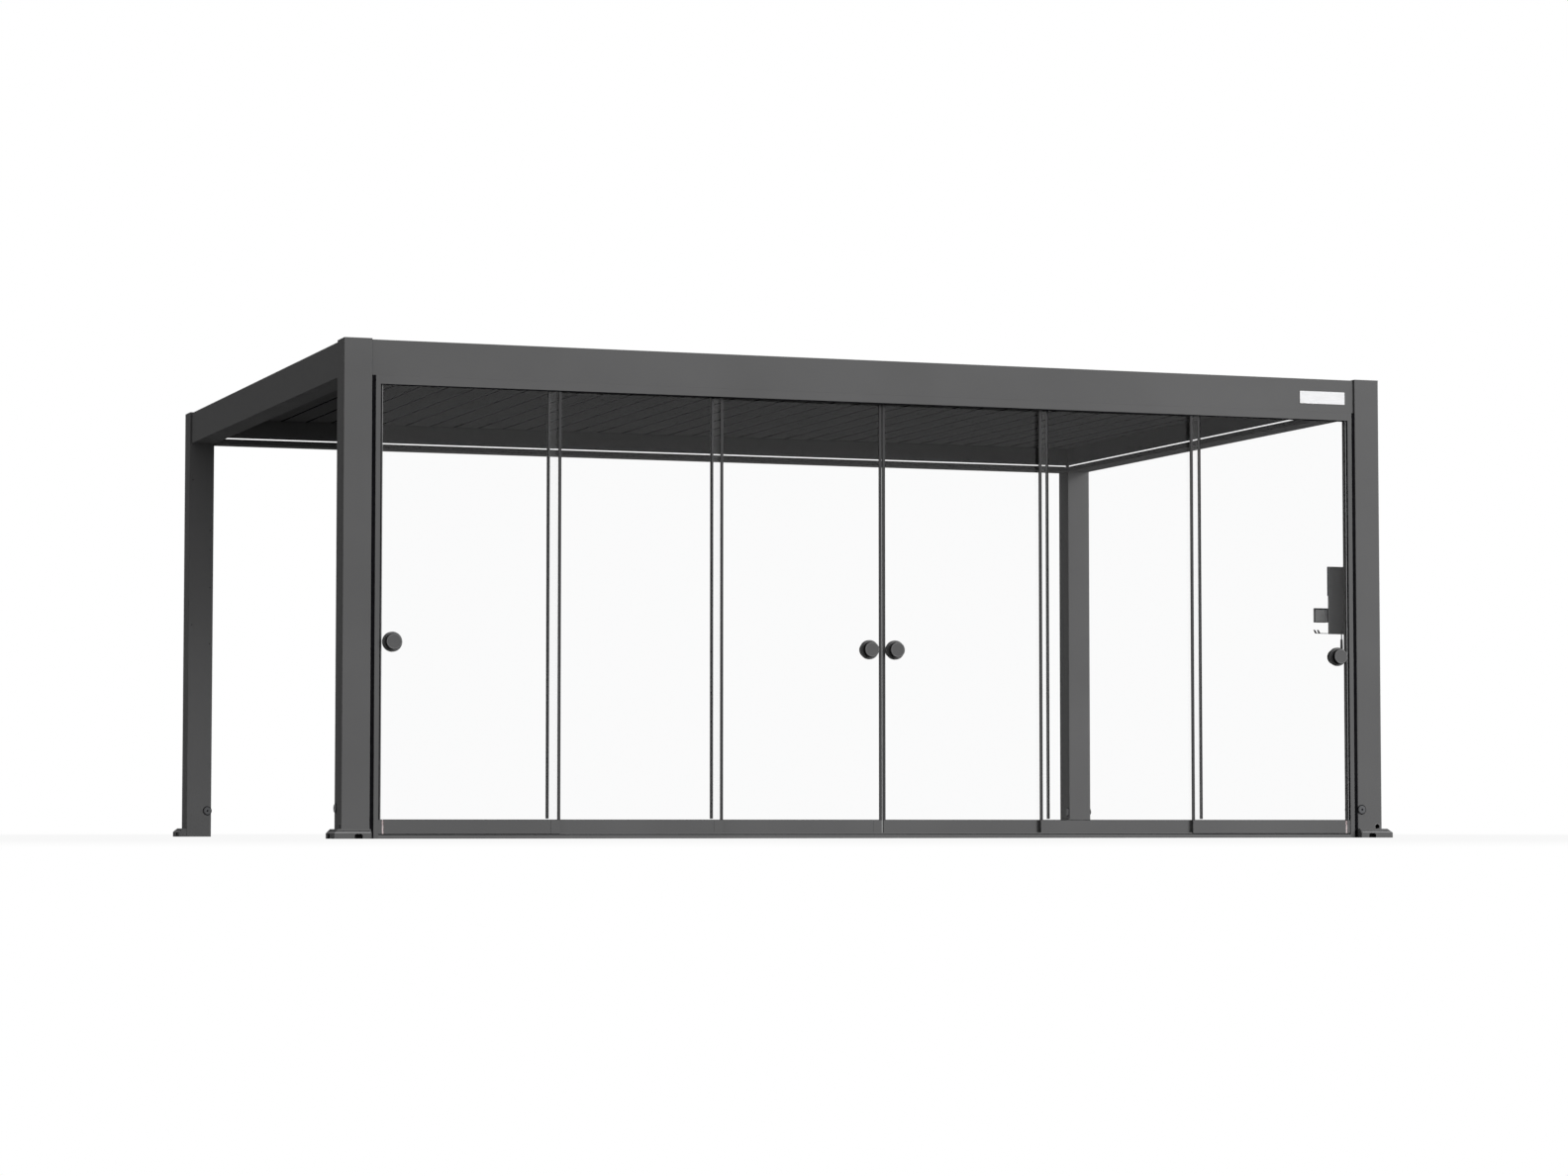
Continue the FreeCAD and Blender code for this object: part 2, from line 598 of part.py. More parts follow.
def pane(x0, y, knob_x):
    """A leaf's glass, with a hole for the knob's spindle where it has one."""
    half = GLASS_THICKNESS / 2
    glass = box(x0 + STRIP_WEB, x0 + LEAF_WIDTH - STRIP_WEB, y - half, y + half, GLASS_BOTTOM, GLASS_TOP)
    if knob_x is None:
        return glass
    hole = Part.makeCylinder(KNOB_SPINDLE + KNOB_HOLE_GAP, 4 * half, Vector(knob_x, y - 2 * half, KNOB_HEIGHT),
                             Vector(0, 1, 0))
    return glass.cut(hole)


def leaf_places():
    """Each leaf's number, left end, track and knob side (or None); leaves 4 to 6 mirror leaves 3 to 1."""
    inner_left = -MEETING_GAP / 2 - LEAF_WIDTH
    middle_left = inner_left + INNER_LAP - LEAF_WIDTH
    outer_left = middle_left + OUTER_LAP - LEAF_WIDTH
    left_half = [(1, outer_left, 0, LEFT), (2, middle_left, 1, None), (3, inner_left, 2, RIGHT)]
    right_half = [(FIRST_LEAF + LAST_LEAF - n, -x0 - LEAF_WIDTH, track, None if side is None else -side)
                  for n, x0, track, side in reversed(left_half)]
    return left_half + right_half


def leaf(number, x0, track, knob_side):
    """All the nodes of one leaf."""
    y = track_line(track)
    knob_x = None
    if knob_side == LEFT:
        knob_x = x0 + KNOB_INSET
    elif knob_side == RIGHT:
        knob_x = x0 + LEAF_WIDTH - KNOB_INSET
    name = f"leaf_{number}"
    nodes = {
        f"{name}_glass": [pane(x0, y, knob_x)],
        f"{name}_bottom_rail": bottom_rail(number, x0, y),
        f"{name}_edge_strips": edge_strips(number, x0, y),
    }
    if number == FIRST_LEAF:
        nodes[f"{name}_rail_brush"] = [rail_brush(x0, y, 1)]
    elif number == LAST_LEAF:
        nodes[f"{name}_rail_brush"] = [rail_brush(x0 + LEAF_WIDTH, y, -1)]
    if knob_x is not None:
        nodes[f"{name}_knob"] = [knob(knob_x, y)]
    return nodes


def front_plate():
    """The bare metal plate at the right end of the front beam."""
    x1 = HALF_LENGTH - PLATE_RIGHT_END
    y1 = FRONT_FACE + BEAM_SETBACK
    z0 = BEAM_UNDERSIDE + PLATE_SILL
    plate = box(x1 - PLATE_LENGTH, x1, y1 - PLATE_THICKNESS, y1, z0, z0 + PLATE_HEIGHT)
    corners = [e for e in plate.Edges if near(e.Vertexes[0].X, e.Vertexes[1].X)
               and near(e.Vertexes[0].Z, e.Vertexes[1].Z)]
    return plate.makeFillet(PLATE_CORNER, corners)


def control_box():
    """A slim box against the inner side of the right front post."""
    x1 = BAY_LENGTH / 2
    y1 = FRONT_FACE + POST_SIZE
    shape = box(x1 - BOX_WIDTH, x1, y1 - BOX_DEPTH, y1, BOX_SILL, BOX_SILL + BOX_HEIGHT)
    rim = edges_at(shape, lambda p: near(p.y, y1 - BOX_DEPTH))
    return shape.makeChamfer(BOX_CHAMFER, rim)


def box_cup():
    """The open square cup on the left side of the control box."""
    x1 = BAY_LENGTH / 2 - BOX_WIDTH
    x0 = x1 - CUP_SIZE
    y1 = FRONT_FACE + POST_SIZE + CUP_REACH
    y0 = y1 - BOX_DEPTH - CUP_REACH
    z1 = CUP_SILL + CUP_SIZE
    hollow = box(x0 + CUP_WALL, x1 - CUP_WALL, y0 + CUP_WALL, y1 - CUP_WALL, CUP_SILL + CUP_WALL, z1 + 1)
    return box(x0, x1, y0, y1, CUP_SILL, z1).cut(hollow)


def box_hooks():
    """A flat bar under the cup with two turned-up hooks."""
    x1 = BAY_LENGTH / 2 - BOX_WIDTH
    x0 = x1 - HOOK_REACH
    y0 = FRONT_FACE + POST_SIZE - BOX_DEPTH
    y1 = y0 + BOX_DEPTH
    z0, z1 = BOX_SILL, BOX_SILL + HOOK_BAR
    bar = box(x0, x1, y0 + HOOK_BAR, y1, z0, z1)
    hooks = []
    for x in (x0, x0 + HOOK_SPACING):
        hooks.append(box(x, x + HOOK_BAR, y0 + HOOK_BAR, y1, z0, z1 + HOOK_RISE))
    return fused([bar] + hooks)


def pull_rod():
    """A thin rod with a thicker grip, hanging straight down from the control box."""
    x = BAY_LENGTH / 2 - ROD_OFFSET
    y = FRONT_FACE + POST_SIZE - BOX_DEPTH / 2
    grip_top = BOX_SILL - ROD_LENGTH
    rod = Part.makeCylinder(ROD_RADIUS, ROD_LENGTH, Vector(x, y, grip_top))
    grip = Part.makeCylinder(GRIP_RADIUS, GRIP_LENGTH, Vector(x, y, grip_top - GRIP_LENGTH))
    return fused([rod, grip])


def model():
    """Every node's name and solids."""
    nodes = {}
    for name, shape in zip(("front_right", "rear_right", "rear_left", "front_left"), at_corners(post())):
        nodes[f"post_{name}"] = [shape]
    nodes["post_caps"] = at_corners(post_cap())
    nodes["foot_brackets"] = at_corners(foot_bracket())
    nodes["foot_bolts"] = at_corners(foot_bolt())
    nodes["foot_covers"] = at_corners(foot_cover())
    for name, shape in zip(("front", "right", "rear", "left"), at_sides(beam(BAY_LENGTH), beam(BAY_DEPTH))):
        nodes[f"beam_{name}"] = [shape]
    nodes["gutters"] = at_sides(gutter(BAY_LENGTH), gutter(BAY_DEPTH))
    nodes["led_strips"] = at_sides(led_strip(BAY_LENGTH), led_strip(BAY_DEPTH))
    nodes["roof_louvres"] = louvres()
    nodes["roof_trims"] = roof_trims()
    nodes["roof_flashings"] = roof_flashings()
    nodes["door_top_track"] = [top_track()]
    nodes["door_top_track_walls"] = top_track_walls()
    nodes["door_bottom_track"] = [bottom_track()]
    nodes["door_bottom_track_ribs"] = bottom_track_ribs()
    nodes["door_jamb_left"] = [jamb(LEFT)]
    nodes["door_jamb_right"] = [jamb(RIGHT)]
    nodes["jamb_seals"] = jamb_seals()
    for place in leaf_places():
        nodes.update(leaf(*place))
    nodes["front_plate"] = [front_plate()]
    nodes["control_box"] = [control_box()]
    nodes["control_box_cup"] = [box_cup()]
    nodes["control_box_hooks"] = [box_hooks()]
    nodes["control_box_rod"] = [pull_rod()]
    return nodes


def write(nodes):
    """Writes one STEP file for each node."""
    os.makedirs(OUT, exist_ok=True)
    for name, shapes in nodes.items():
        shape = shapes[0] if len(shapes) == 1 else Part.makeCompound(shapes)
        shape.exportStep(os.path.join(OUT, f"{name}.step"))
        print(f"{name}: {len(shapes)} solids, {shape.Volume / 1e6:.2f} litres, valid {shape.isValid()}")


write(model())
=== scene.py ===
"""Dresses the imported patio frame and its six-leaf sliding glass door, with the photo's camera and soft light.

Metres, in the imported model's own frame: +X along the front from left to right, +Y to the rear, +Z up.
"""
from __future__ import annotations

import json
import logging
import math
import random
from dataclasses import dataclass
from enum import Enum, IntEnum
from typing import Iterable, Sequence

import bmesh
import bpy
from mathutils import Matrix, Vector


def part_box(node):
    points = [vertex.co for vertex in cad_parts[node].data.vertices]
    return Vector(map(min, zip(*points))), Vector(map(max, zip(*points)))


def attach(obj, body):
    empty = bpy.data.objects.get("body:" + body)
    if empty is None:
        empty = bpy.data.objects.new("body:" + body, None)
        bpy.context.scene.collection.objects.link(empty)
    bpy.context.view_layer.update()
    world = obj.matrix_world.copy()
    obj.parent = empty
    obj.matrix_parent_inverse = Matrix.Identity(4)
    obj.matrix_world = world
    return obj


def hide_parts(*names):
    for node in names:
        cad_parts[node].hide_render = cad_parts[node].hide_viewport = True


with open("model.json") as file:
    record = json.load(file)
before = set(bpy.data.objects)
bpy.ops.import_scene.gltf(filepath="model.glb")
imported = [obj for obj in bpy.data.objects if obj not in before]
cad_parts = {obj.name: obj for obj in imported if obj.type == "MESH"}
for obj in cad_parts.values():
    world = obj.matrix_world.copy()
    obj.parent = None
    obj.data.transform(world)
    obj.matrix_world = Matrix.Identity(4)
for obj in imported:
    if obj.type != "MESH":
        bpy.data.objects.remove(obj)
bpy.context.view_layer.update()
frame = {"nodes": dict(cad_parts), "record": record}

MM = 0.001
LEAF_NUMBERS = range(1, 7)
OUTER_LEAVES = (1, 6)
KNOB_LEAVES = (1, 3, 4, 6)
SHARP_ANGLE = math.radians(35)
ROUNDING_STEPS = 2
BEVEL_SAMPLES = 4
LOG = logging.getLogger("patio_frame")

Colour = tuple[float, float, float]
Corner = tuple[Vector, Vector]
Flat = tuple[float, float]
WHITE: Colour = (1.0, 1.0, 1.0)


class Body(Enum):
    """The CAD bodies that pieces ride on."""

    FRAME = "frame"
    LEAF_2 = "leaf_2"
    LEAF_3 = "leaf_3"
    LEAF_4 = "leaf_4"
    LEAF_5 = "leaf_5"

    @staticmethod
    def of_leaf(number: int) -> "Body":
        """The body of a door leaf; the two outer leaves are fixed to the frame."""
        return Body.FRAME if number in OUTER_LEAVES else Body(f"leaf_{number}")


class Axis(IntEnum):
    """The model's axes, as places in a vector."""

    X = 0
    Y = 1
    Z = 2


class Coords(Enum):
    """Which way a pattern's fibres or brush marks run."""

    EVEN = (1.0, 1.0, 1.0)
    ALONG_X = (0.02, 1.0, 1.0)


@dataclass(frozen=True)
class Grain:
    """A noise on a surface: its grains to a metre, its finer layers and the way it is drawn out."""

    scale: float
    detail: float = 2.0
    run: Coords = Coords.EVEN


class ShaderTree:
    """Lays out the nodes of one material, or of the sky."""

    def __init__(self, owner: bpy.types.ID, output: str = "ShaderNodeOutputMaterial") -> None:
        """Empties the owner's nodes and adds the output.

        Args:
            owner: The material or the world.
            output: The output node's Blender type.
        """
        owner.use_nodes = True
        self.tree = owner.node_tree
        self.tree.nodes.clear()
        self.output = self.add(output)
        self.coords = self.add("ShaderNodeTexCoord").outputs

    def feed(self, node: bpy.types.Node, inputs: dict[str | int, object]) -> None:
        """Links or sets some of a node's inputs.

        Args:
            node: The node.
            inputs: A socket, a number or a colour for each input, by the input's name or place.
        """
        for key, value in inputs.items():
            target = node.inputs[key]
            if isinstance(value, bpy.types.NodeSocket):
                self.tree.links.new(value, target)
            elif target.type == "RGBA":
                target.default_value = (*value, 1.0)
            else:
                target.default_value = value

    def add(self, kind: str, inputs: dict[str | int, object] | None = None,
            **settings: object) -> bpy.types.Node:
        """Adds a node.

        Args:
            kind: The node's Blender type.
            inputs: What its inputs get, as for feed.
            settings: The node's own properties.

        Returns:
            The new node.
        """
        node = self.tree.nodes.new(kind)
        for key, value in settings.items():
            setattr(node, key, value)
        self.feed(node, inputs or {})
        return node

    def noise(self, grain: Grain) -> bpy.types.NodeSocket:
        """Adds a noise in metres on the piece itself, as a factor."""
        stretch = self.add("ShaderNodeMapping", {"Scale": grain.run.value, "Vector": self.coords["Object"]})
        texture = self.add("ShaderNodeTexNoise", {"Scale": grain.scale, "Detail": grain.detail,
                                                  "Vector": stretch.outputs["Vector"]})
        return texture.outputs["Fac"]

    def spread(self, source: bpy.types.NodeSocket, low: float, high: float,
               start: float = 0.3, stop: float = 0.7) -> bpy.types.NodeSocket:
        """Turns a factor into a number between two others.

        Args:
            source: The factor.
            low: The number at the start.
            high: The number at the stop.
            start: The factor where the change begins.
            stop: The factor where it ends.

        Returns:
            The number's socket.
        """
        ranged = self.add("ShaderNodeMapRange", {"Value": source, "From Min": start, "From Max": stop,
                                                 "To Min": low, "To Max": high})
        return ranged.outputs["Result"]

    def blend(self, factor: bpy.types.NodeSocket, first: object, second: object) -> bpy.types.NodeSocket:
        """Mixes two colours, each given as a colour or as a socket.

        Args:
            factor: How much of the second there is.
            first: The colour at 0.
            second: The colour at 1.

        Returns:
            The mixed colour.
        """
        mix = self.add("ShaderNodeMix", {0: factor}, data_type="RGBA")
        places = [place for place, socket in enumerate(mix.inputs) if socket.type == "RGBA"]
        self.feed(mix, dict(zip(places, (first, second))))
        return [socket for socket in mix.outputs if socket.type == "RGBA"][0]

    def toned(self, factor: bpy.types.NodeSocket, colour: Colour, tones: Flat) -> bpy.types.NodeSocket:
        """A colour that a noise makes darker and lighter.

        Args:
            factor: The noise.
            colour: The colour.
            tones: What it is multiplied by where it is darkest and lightest.

        Returns:
            The colour's socket.
        """
        return self.blend(self.spread(factor, 0.0, 1.0), scaled(colour, tones[0]), scaled(colour, tones[1]))

    def relief(self, height: bpy.types.NodeSocket, depth: float, edge: float = 0.0) -> bpy.types.NodeSocket:
        """Adds bump, on a normal whose sharp edges are softened.

        Args:
            height: The height as a factor.
            depth: The relief's full depth in metres.
            edge: The radius of a softened edge in metres, or 0 for none.

        Returns:
            The normal.
        """
        bump = self.add("ShaderNodeBump", {"Strength": 1.0, "Distance": depth, "Height": height})
        if edge:
            soft = self.add("ShaderNodeBevel", {"Radius": edge}, samples=BEVEL_SAMPLES)
            self.feed(bump, {"Normal": soft.outputs["Normal"]})
        return bump.outputs["Normal"]

    def principled(self, roughness: float, specular: float) -> bpy.types.Node:
        """Adds the main shader and sends it to the output."""
        shader = self.add("ShaderNodeBsdfPrincipled", {"Roughness": roughness, "Specular IOR Level": specular})
        self.feed(self.output, {"Surface": shader.outputs["BSDF"]})
        return shader

    def any_ray(self, *names: str) -> bpy.types.NodeSocket:
        """A factor that is 1 for any of the named kinds of ray."""
        rays = self.add("ShaderNodeLightPath").outputs
        total = rays[names[0]]
        for name in names[1:]:
            total = self.add("ShaderNodeMath", {0: total, 1: rays[name]}, operation="MAXIMUM").outputs["Value"]
        return total

    def choose(self, factor: bpy.types.NodeSocket, first: bpy.types.Node, second: bpy.types.Node) -> None:
        """Sends a mix of two shaders to the output; the factor says how much of the second."""
        choice = self.add("ShaderNodeMixShader", {0: factor, 1: first.outputs[0], 2: second.outputs[0]})
        self.feed(self.output, {"Surface": choice.outputs["Shader"]})


def scaled(colour: Colour, factor: float) -> Colour:
    """A colour made lighter or darker."""
    return (colour[0] * factor, colour[1] * factor, colour[2] * factor)


@dataclass(frozen=True)
class Finish:
    """What all finishes have; each kind lays out its own nodes."""

    name: str
    colour: Colour

    def build(self) -> bpy.types.Material:
        """Makes the material."""
        material = bpy.data.materials.new(self.name)
        self.lay_out(ShaderTree(material))
        return material

    def lay_out(self, tree: ShaderTree) -> None:
        """Adds the finish's own nodes."""
        raise NotImplementedError(self.name)


@dataclass(frozen=True)
class PowderCoat(Finish):
    """Baked powder paint on aluminium: a fine orange peel, faint mottling and pale flecks."""

    roughness: float = 0.86
    rough_swing: float = 0.04
    specular: float = 0.03
    mottle: float = 0.05
    fleck: float = 0.10
    fleck_range: Flat = (0.62, 0.78)
    cloud: Grain = Grain(1.7, 3.0)
    peel: Grain = Grain(650.0)
    specks: Grain = Grain(1900.0, 0.0)
    peel_depth: float = 0.00005
    edge_radius: float = 0.0012

    def lay_out(self, tree: ShaderTree) -> None:
        """Adds the finish's own nodes."""
        shader = tree.principled(self.roughness, self.specular)
        cloud = tree.noise(self.cloud)
        broad = tree.toned(cloud, self.colour, (1 - self.mottle, 1 + self.mottle))
        share = tree.spread(tree.noise(self.specks), 0.0, self.fleck, *self.fleck_range)
        swing = self.rough_swing
        tree.feed(shader, {
            "Base Color": tree.blend(share, broad, scaled(self.colour, 1 + 4 * self.fleck)),
            "Roughness": tree.spread(cloud, self.roughness - swing, self.roughness + swing),
            "Normal": tree.relief(tree.noise(self.peel), self.peel_depth, self.edge_radius)})


@dataclass(frozen=True)
class ClearGlass(Finish):
    """Toughened glass: clear on its faces and faintly green along its polished edges."""

    specular: float = 0.5
    edge_tint: Colour = (0.35, 0.50, 0.45)
    ior: float = 1.26
    face_range: Flat = (0.4, 0.6)

    def lay_out(self, tree: ShaderTree) -> None:
        """Adds the nodes; light from the lamp and the sky reaches what is behind the glass."""
        shader = tree.principled(0.0, self.specular)
        normal = tree.add("ShaderNodeNewGeometry").outputs["True Normal"]
        level = tree.add("ShaderNodeSeparateXYZ", {0: normal}).outputs["Y"]
        facing = tree.add("ShaderNodeMath", {0: level}, operation="ABSOLUTE").outputs["Value"]
        flat = tree.spread(facing, 0.0, 1.0, *self.face_range)
        tree.feed(shader, {"Transmission Weight": 1.0, "IOR": self.ior,
                           "Base Color": tree.blend(flat, self.edge_tint, self.colour)})
        through = tree.add("ShaderNodeBsdfTransparent", {"Color": self.colour})
        tree.choose(tree.any_ray("Is Shadow Ray", "Is Diffuse Ray"), shader, through)


@dataclass(frozen=True)
class Textured(Finish):
    """A surface with one noise in its colour, one in its roughness and one in its relief."""

    roughness: float = 0.42
    specular: float = 0.4
    metallic: float = 0.0
    sheen: float = 0.0
    tone_grain: Grain = Grain(14.0)
    tones: Flat = (0.95, 1.06)
    rough_grain: Grain = Grain(1500.0, 1.0)
    rough_swing: Flat = (-0.05, 0.07)
    relief_grain: Grain = Grain(1500.0, 1.0)
    depth: float = 0.00003
    edge: float = 0.001

    def lay_out(self, tree: ShaderTree) -> None:
        """Adds the finish's own nodes."""
        shader = tree.principled(self.roughness, self.specular)
        less, more = self.rough_swing
        rough = tree.noise(self.rough_grain)
        tree.feed(shader, {
            "Metallic": self.metallic,
            "Sheen Weight": self.sheen,
            "Base Color": tree.toned(tree.noise(self.tone_grain), self.colour, self.tones),
            "Roughness": tree.spread(rough, self.roughness + less, self.roughness + more),
            "Normal": tree.relief(tree.noise(self.relief_grain), self.depth, self.edge)})


@dataclass(frozen=True)
class MouldedPlastic(Textured):
    """Moulded plastic or cast metal with a fine spark-eroded grain."""


@dataclass(frozen=True)
class SoftBlack(Textured):
    """Matt rubber and near-black parts, a little dusty; many added pieces use it as painted shade."""

    roughness: float = 0.9
    specular: float = 0.0
    tone_grain: Grain = Grain(40.0, 4.0)
    tones: Flat = (0.8, 1.5)
    rough_grain: Grain = Grain(40.0, 4.0)
    rough_swing: Flat = (-0.05, 0.08)
    relief_grain: Grain = Grain(900.0, 1.0)
    depth: float = 0.00008
    edge: float = 0.0


@dataclass(frozen=True)
class BrushedMetal(Textured):
    """Bare metal with fine brush marks along X."""

    roughness: float = 0.38
    specular: float = 0.5
    metallic: float = 0.35
    tone_grain: Grain = Grain(1400.0, 3.0, Coords.ALONG_X)
    tones: Flat = (0.93, 1.05)
    rough_grain: Grain = Grain(18.0, 3.0)
    rough_swing: Flat = (-0.06, 0.08)
    relief_grain: Grain = Grain(1400.0, 3.0, Coords.ALONG_X)


@dataclass(frozen=True)
class Pile(Textured):
    """The fibres of a pile or bristle strip."""

    roughness: float = 0.9
    specular: float = 0.1
    sheen: float = 0.3
    tone_grain: Grain = Grain(1200.0, 1.0)
    tones: Flat = (0.7, 1.12)
    rough_grain: Grain = Grain(160.0)
    rough_swing: Flat = (-0.1, 0.08)
    relief_grain: Grain = Grain(1200.0, 1.0)
    depth: float = 0.0004
    edge: float = 0.0


@dataclass(frozen=True)
class DrawnPile(Pile):
    """A pile strip whose fibres stand in rows along X."""

    tone_grain: Grain = Grain(1200.0, 1.0, Coords.ALONG_X)
    relief_grain: Grain = Grain(1200.0, 1.0, Coords.ALONG_X)


@dataclass(frozen=True)
class MilkyLight(Finish):
    """A milky plastic cover over a row of small lamps."""

    roughness: float = 0.45
    specular: float = 0.3
    glow: float = 1.15
    between_lamps: float = 0.94
    lamps_to_a_metre: float = 60.0
    haze: Grain = Grain(25.0)

    def lay_out(self, tree: ShaderTree) -> None:
        """Adds the finish's own nodes."""
        shader = tree.principled(self.roughness, self.specular)
        haze = tree.noise(self.haze)
        spots = tree.add("ShaderNodeTexWave", {"Scale": self.lamps_to_a_metre / math.tau,
                                               "Vector": tree.coords["Object"]},
                         wave_type="BANDS", bands_direction="X", wave_profile="SIN")
        between = scaled(self.colour, self.between_lamps)
        lit = tree.blend(tree.spread(spots.outputs["Fac"], 0.0, 1.0, 0.0, 1.0), between, self.colour)
        tree.feed(shader, {
            "Base Color": tree.toned(haze, self.colour, (0.96, 1.0)),
            "Emission Color": lit,
            "Emission Strength": self.glow,
            "Normal": tree.relief(haze, 0.0001, 0.001)})


@dataclass(frozen=True)
class PaleFloor(Finish):
    """A plain pale floor, which the camera sees as white except where the object shades it."""

    roughness: float = 0.9
    seen_white: float = 0.93
    fade_start: float = 6.0
    fade_end: float = 11.0
    dust: Grain = Grain(55.0, 4.0)

    def lay_out(self, tree: ShaderTree) -> None:
        """Adds the nodes; far from the object the floor is plain white to the camera."""
        shader = tree.principled(self.roughness, 0.0)
        tree.feed(shader, {"Base Color": tree.toned(tree.noise(self.dust), self.colour, (0.985, 1.0))})
        white = tree.add("ShaderNodeEmission", {"Strength": 1.0, "Color": WHITE})
        away = tree.add("ShaderNodeVectorMath", {0: tree.coords["Object"]}, operation="LENGTH")
        share = tree.spread(away.outputs["Value"], self.seen_white, 1.0, self.fade_start, self.fade_end)
        seen = tree.any_ray("Is Camera Ray", "Is Glossy Ray", "Is Transmission Ray")
        factor = tree.add("ShaderNodeMath", {0: seen, 1: share}, operation="MULTIPLY").outputs["Value"]
        tree.choose(factor, shader, white)


class Palette:
    """Every finish, built once and shared by the nodes and pieces that use it."""

    FINISHES = (
        PowderCoat("frame_paint", (0.131, 0.131, 0.132)),
        PowderCoat("roof_paint", (0.108, 0.108, 0.109), roughness=0.95, specular=0.01),
        PowderCoat("track_paint", (0.148, 0.148, 0.149)),
        PowderCoat("rail_paint", (0.133, 0.133, 0.134)),
        # Pale paint for painted highlights: the outlet collars, the skirt beads, the outer leaves' edge beads
        # and the knob rims.
        PowderCoat("highlight_paint", (0.23, 0.23, 0.232)),
        PowderCoat("strip_paint", (0.068, 0.068, 0.069), roughness=0.6, specular=0.06),
        MouldedPlastic("knob_paint", (0.112, 0.112, 0.113), specular=0.15),
        MouldedPlastic("box_paint", (0.23, 0.23, 0.233), roughness=0.5, specular=0.08),
        MouldedPlastic("bolt_steel", (0.11, 0.112, 0.117), roughness=0.4, specular=0.2),
        MouldedPlastic("dark_steel", (0.02, 0.02, 0.022), roughness=0.5, specular=0.2),
        MouldedPlastic("blue_black", (0.012, 0.013, 0.03), roughness=0.5, specular=0.1),
        ClearGlass("leaf_glass", (0.962, 0.963, 0.964)),
        MilkyLight("light_diffuser", (0.80, 0.80, 0.80)),
        # Matt black rubber for the real seals; many added strips in it are painted shade lines in gaps, seams
        # and recesses.
        SoftBlack("seal_rubber", (0.006, 0.006, 0.007)),
        # Near-black for black parts and for painted shade in holes, sockets and notches.
        SoftBlack("black_and_painted_shade", (0.004, 0.004, 0.004)),
        BrushedMetal("plate_metal", (0.84, 0.84, 0.85)),
        Pile("brush_pile", (0.90, 0.80, 0.80)),
        DrawnPile("dark_pile", (0.03, 0.03, 0.032)),
        MouldedPlastic("cap_plastic", (0.32, 0.32, 0.33), roughness=0.5),
        PaleFloor("studio_floor", (0.11, 0.11, 0.11)),
    )

    def __init__(self) -> None:
        """Builds the materials."""
        self.materials = {finish.name: finish.build() for finish in self.FINISHES}

    def paint(self, piece: bpy.types.Object, name: str) -> None:
        """Gives a piece one finish all over."""
        piece.data.materials.clear()
        piece.data.materials.append(self.materials[name])


def loose_parts(node: str) -> list[Corner]:
    """The lowest and highest corner of each separate solid of a CAD node.

    Args:
        node: The node's name.

    Returns:
        One pair of corners for each solid, from left to right, and then from front to rear.
    """
    mesh = bmesh.new()
    mesh.from_mesh(frame["nodes"][node].data)
    bmesh.ops.remove_doubles(mesh, verts=mesh.verts, dist=1e-6)
    left = set(mesh.verts)
    parts = []
    while left:
        queue = [left.pop()]
        low, high = queue[0].co.copy(), queue[0].co.copy()
        while queue:
            vert = queue.pop()
            low = Vector(map(min, low, vert.co))
            high = Vector(map(max, high, vert.co))
            for edge in vert.link_edges:
                other = edge.other_vert(vert)
                if other in left:
                    left.remove(other)
                    queue.append(other)
        parts.append((low, high))
    mesh.free()
    return sorted(parts, key=lambda part: (round(part[0].x, 4), round(part[0].y, 4)))


def long_axis(low: Vector, high: Vector) -> Axis:
    """The level axis along which a box is longer."""
    return Axis.X if high.x - low.x > high.y - low.y else Axis.Y


def on_axis(axis: Axis, along: float, across: Sequence[float]) -> Vector:
    """A point given by its place along an axis and by its other two coordinates."""
    point = list(across)
    point.insert(axis, along)
    return Vector(point)


def oblong(left: float, low: float, right: float, high: float) -> list[Flat]:
    """The four corners of a rectangle, in order."""
    return [(left, low), (right, low), (right, high), (left, high)]


def circle(centre: Vector, radius: float, sides: int) -> list[Vector]:
    """A circle that faces the front, as points."""
    angles = [math.tau * k / sides for k in range(sides)]
    return [centre + Vector((radius * math.cos(angle), 0, radius * math.sin(angle))) for angle in angles]


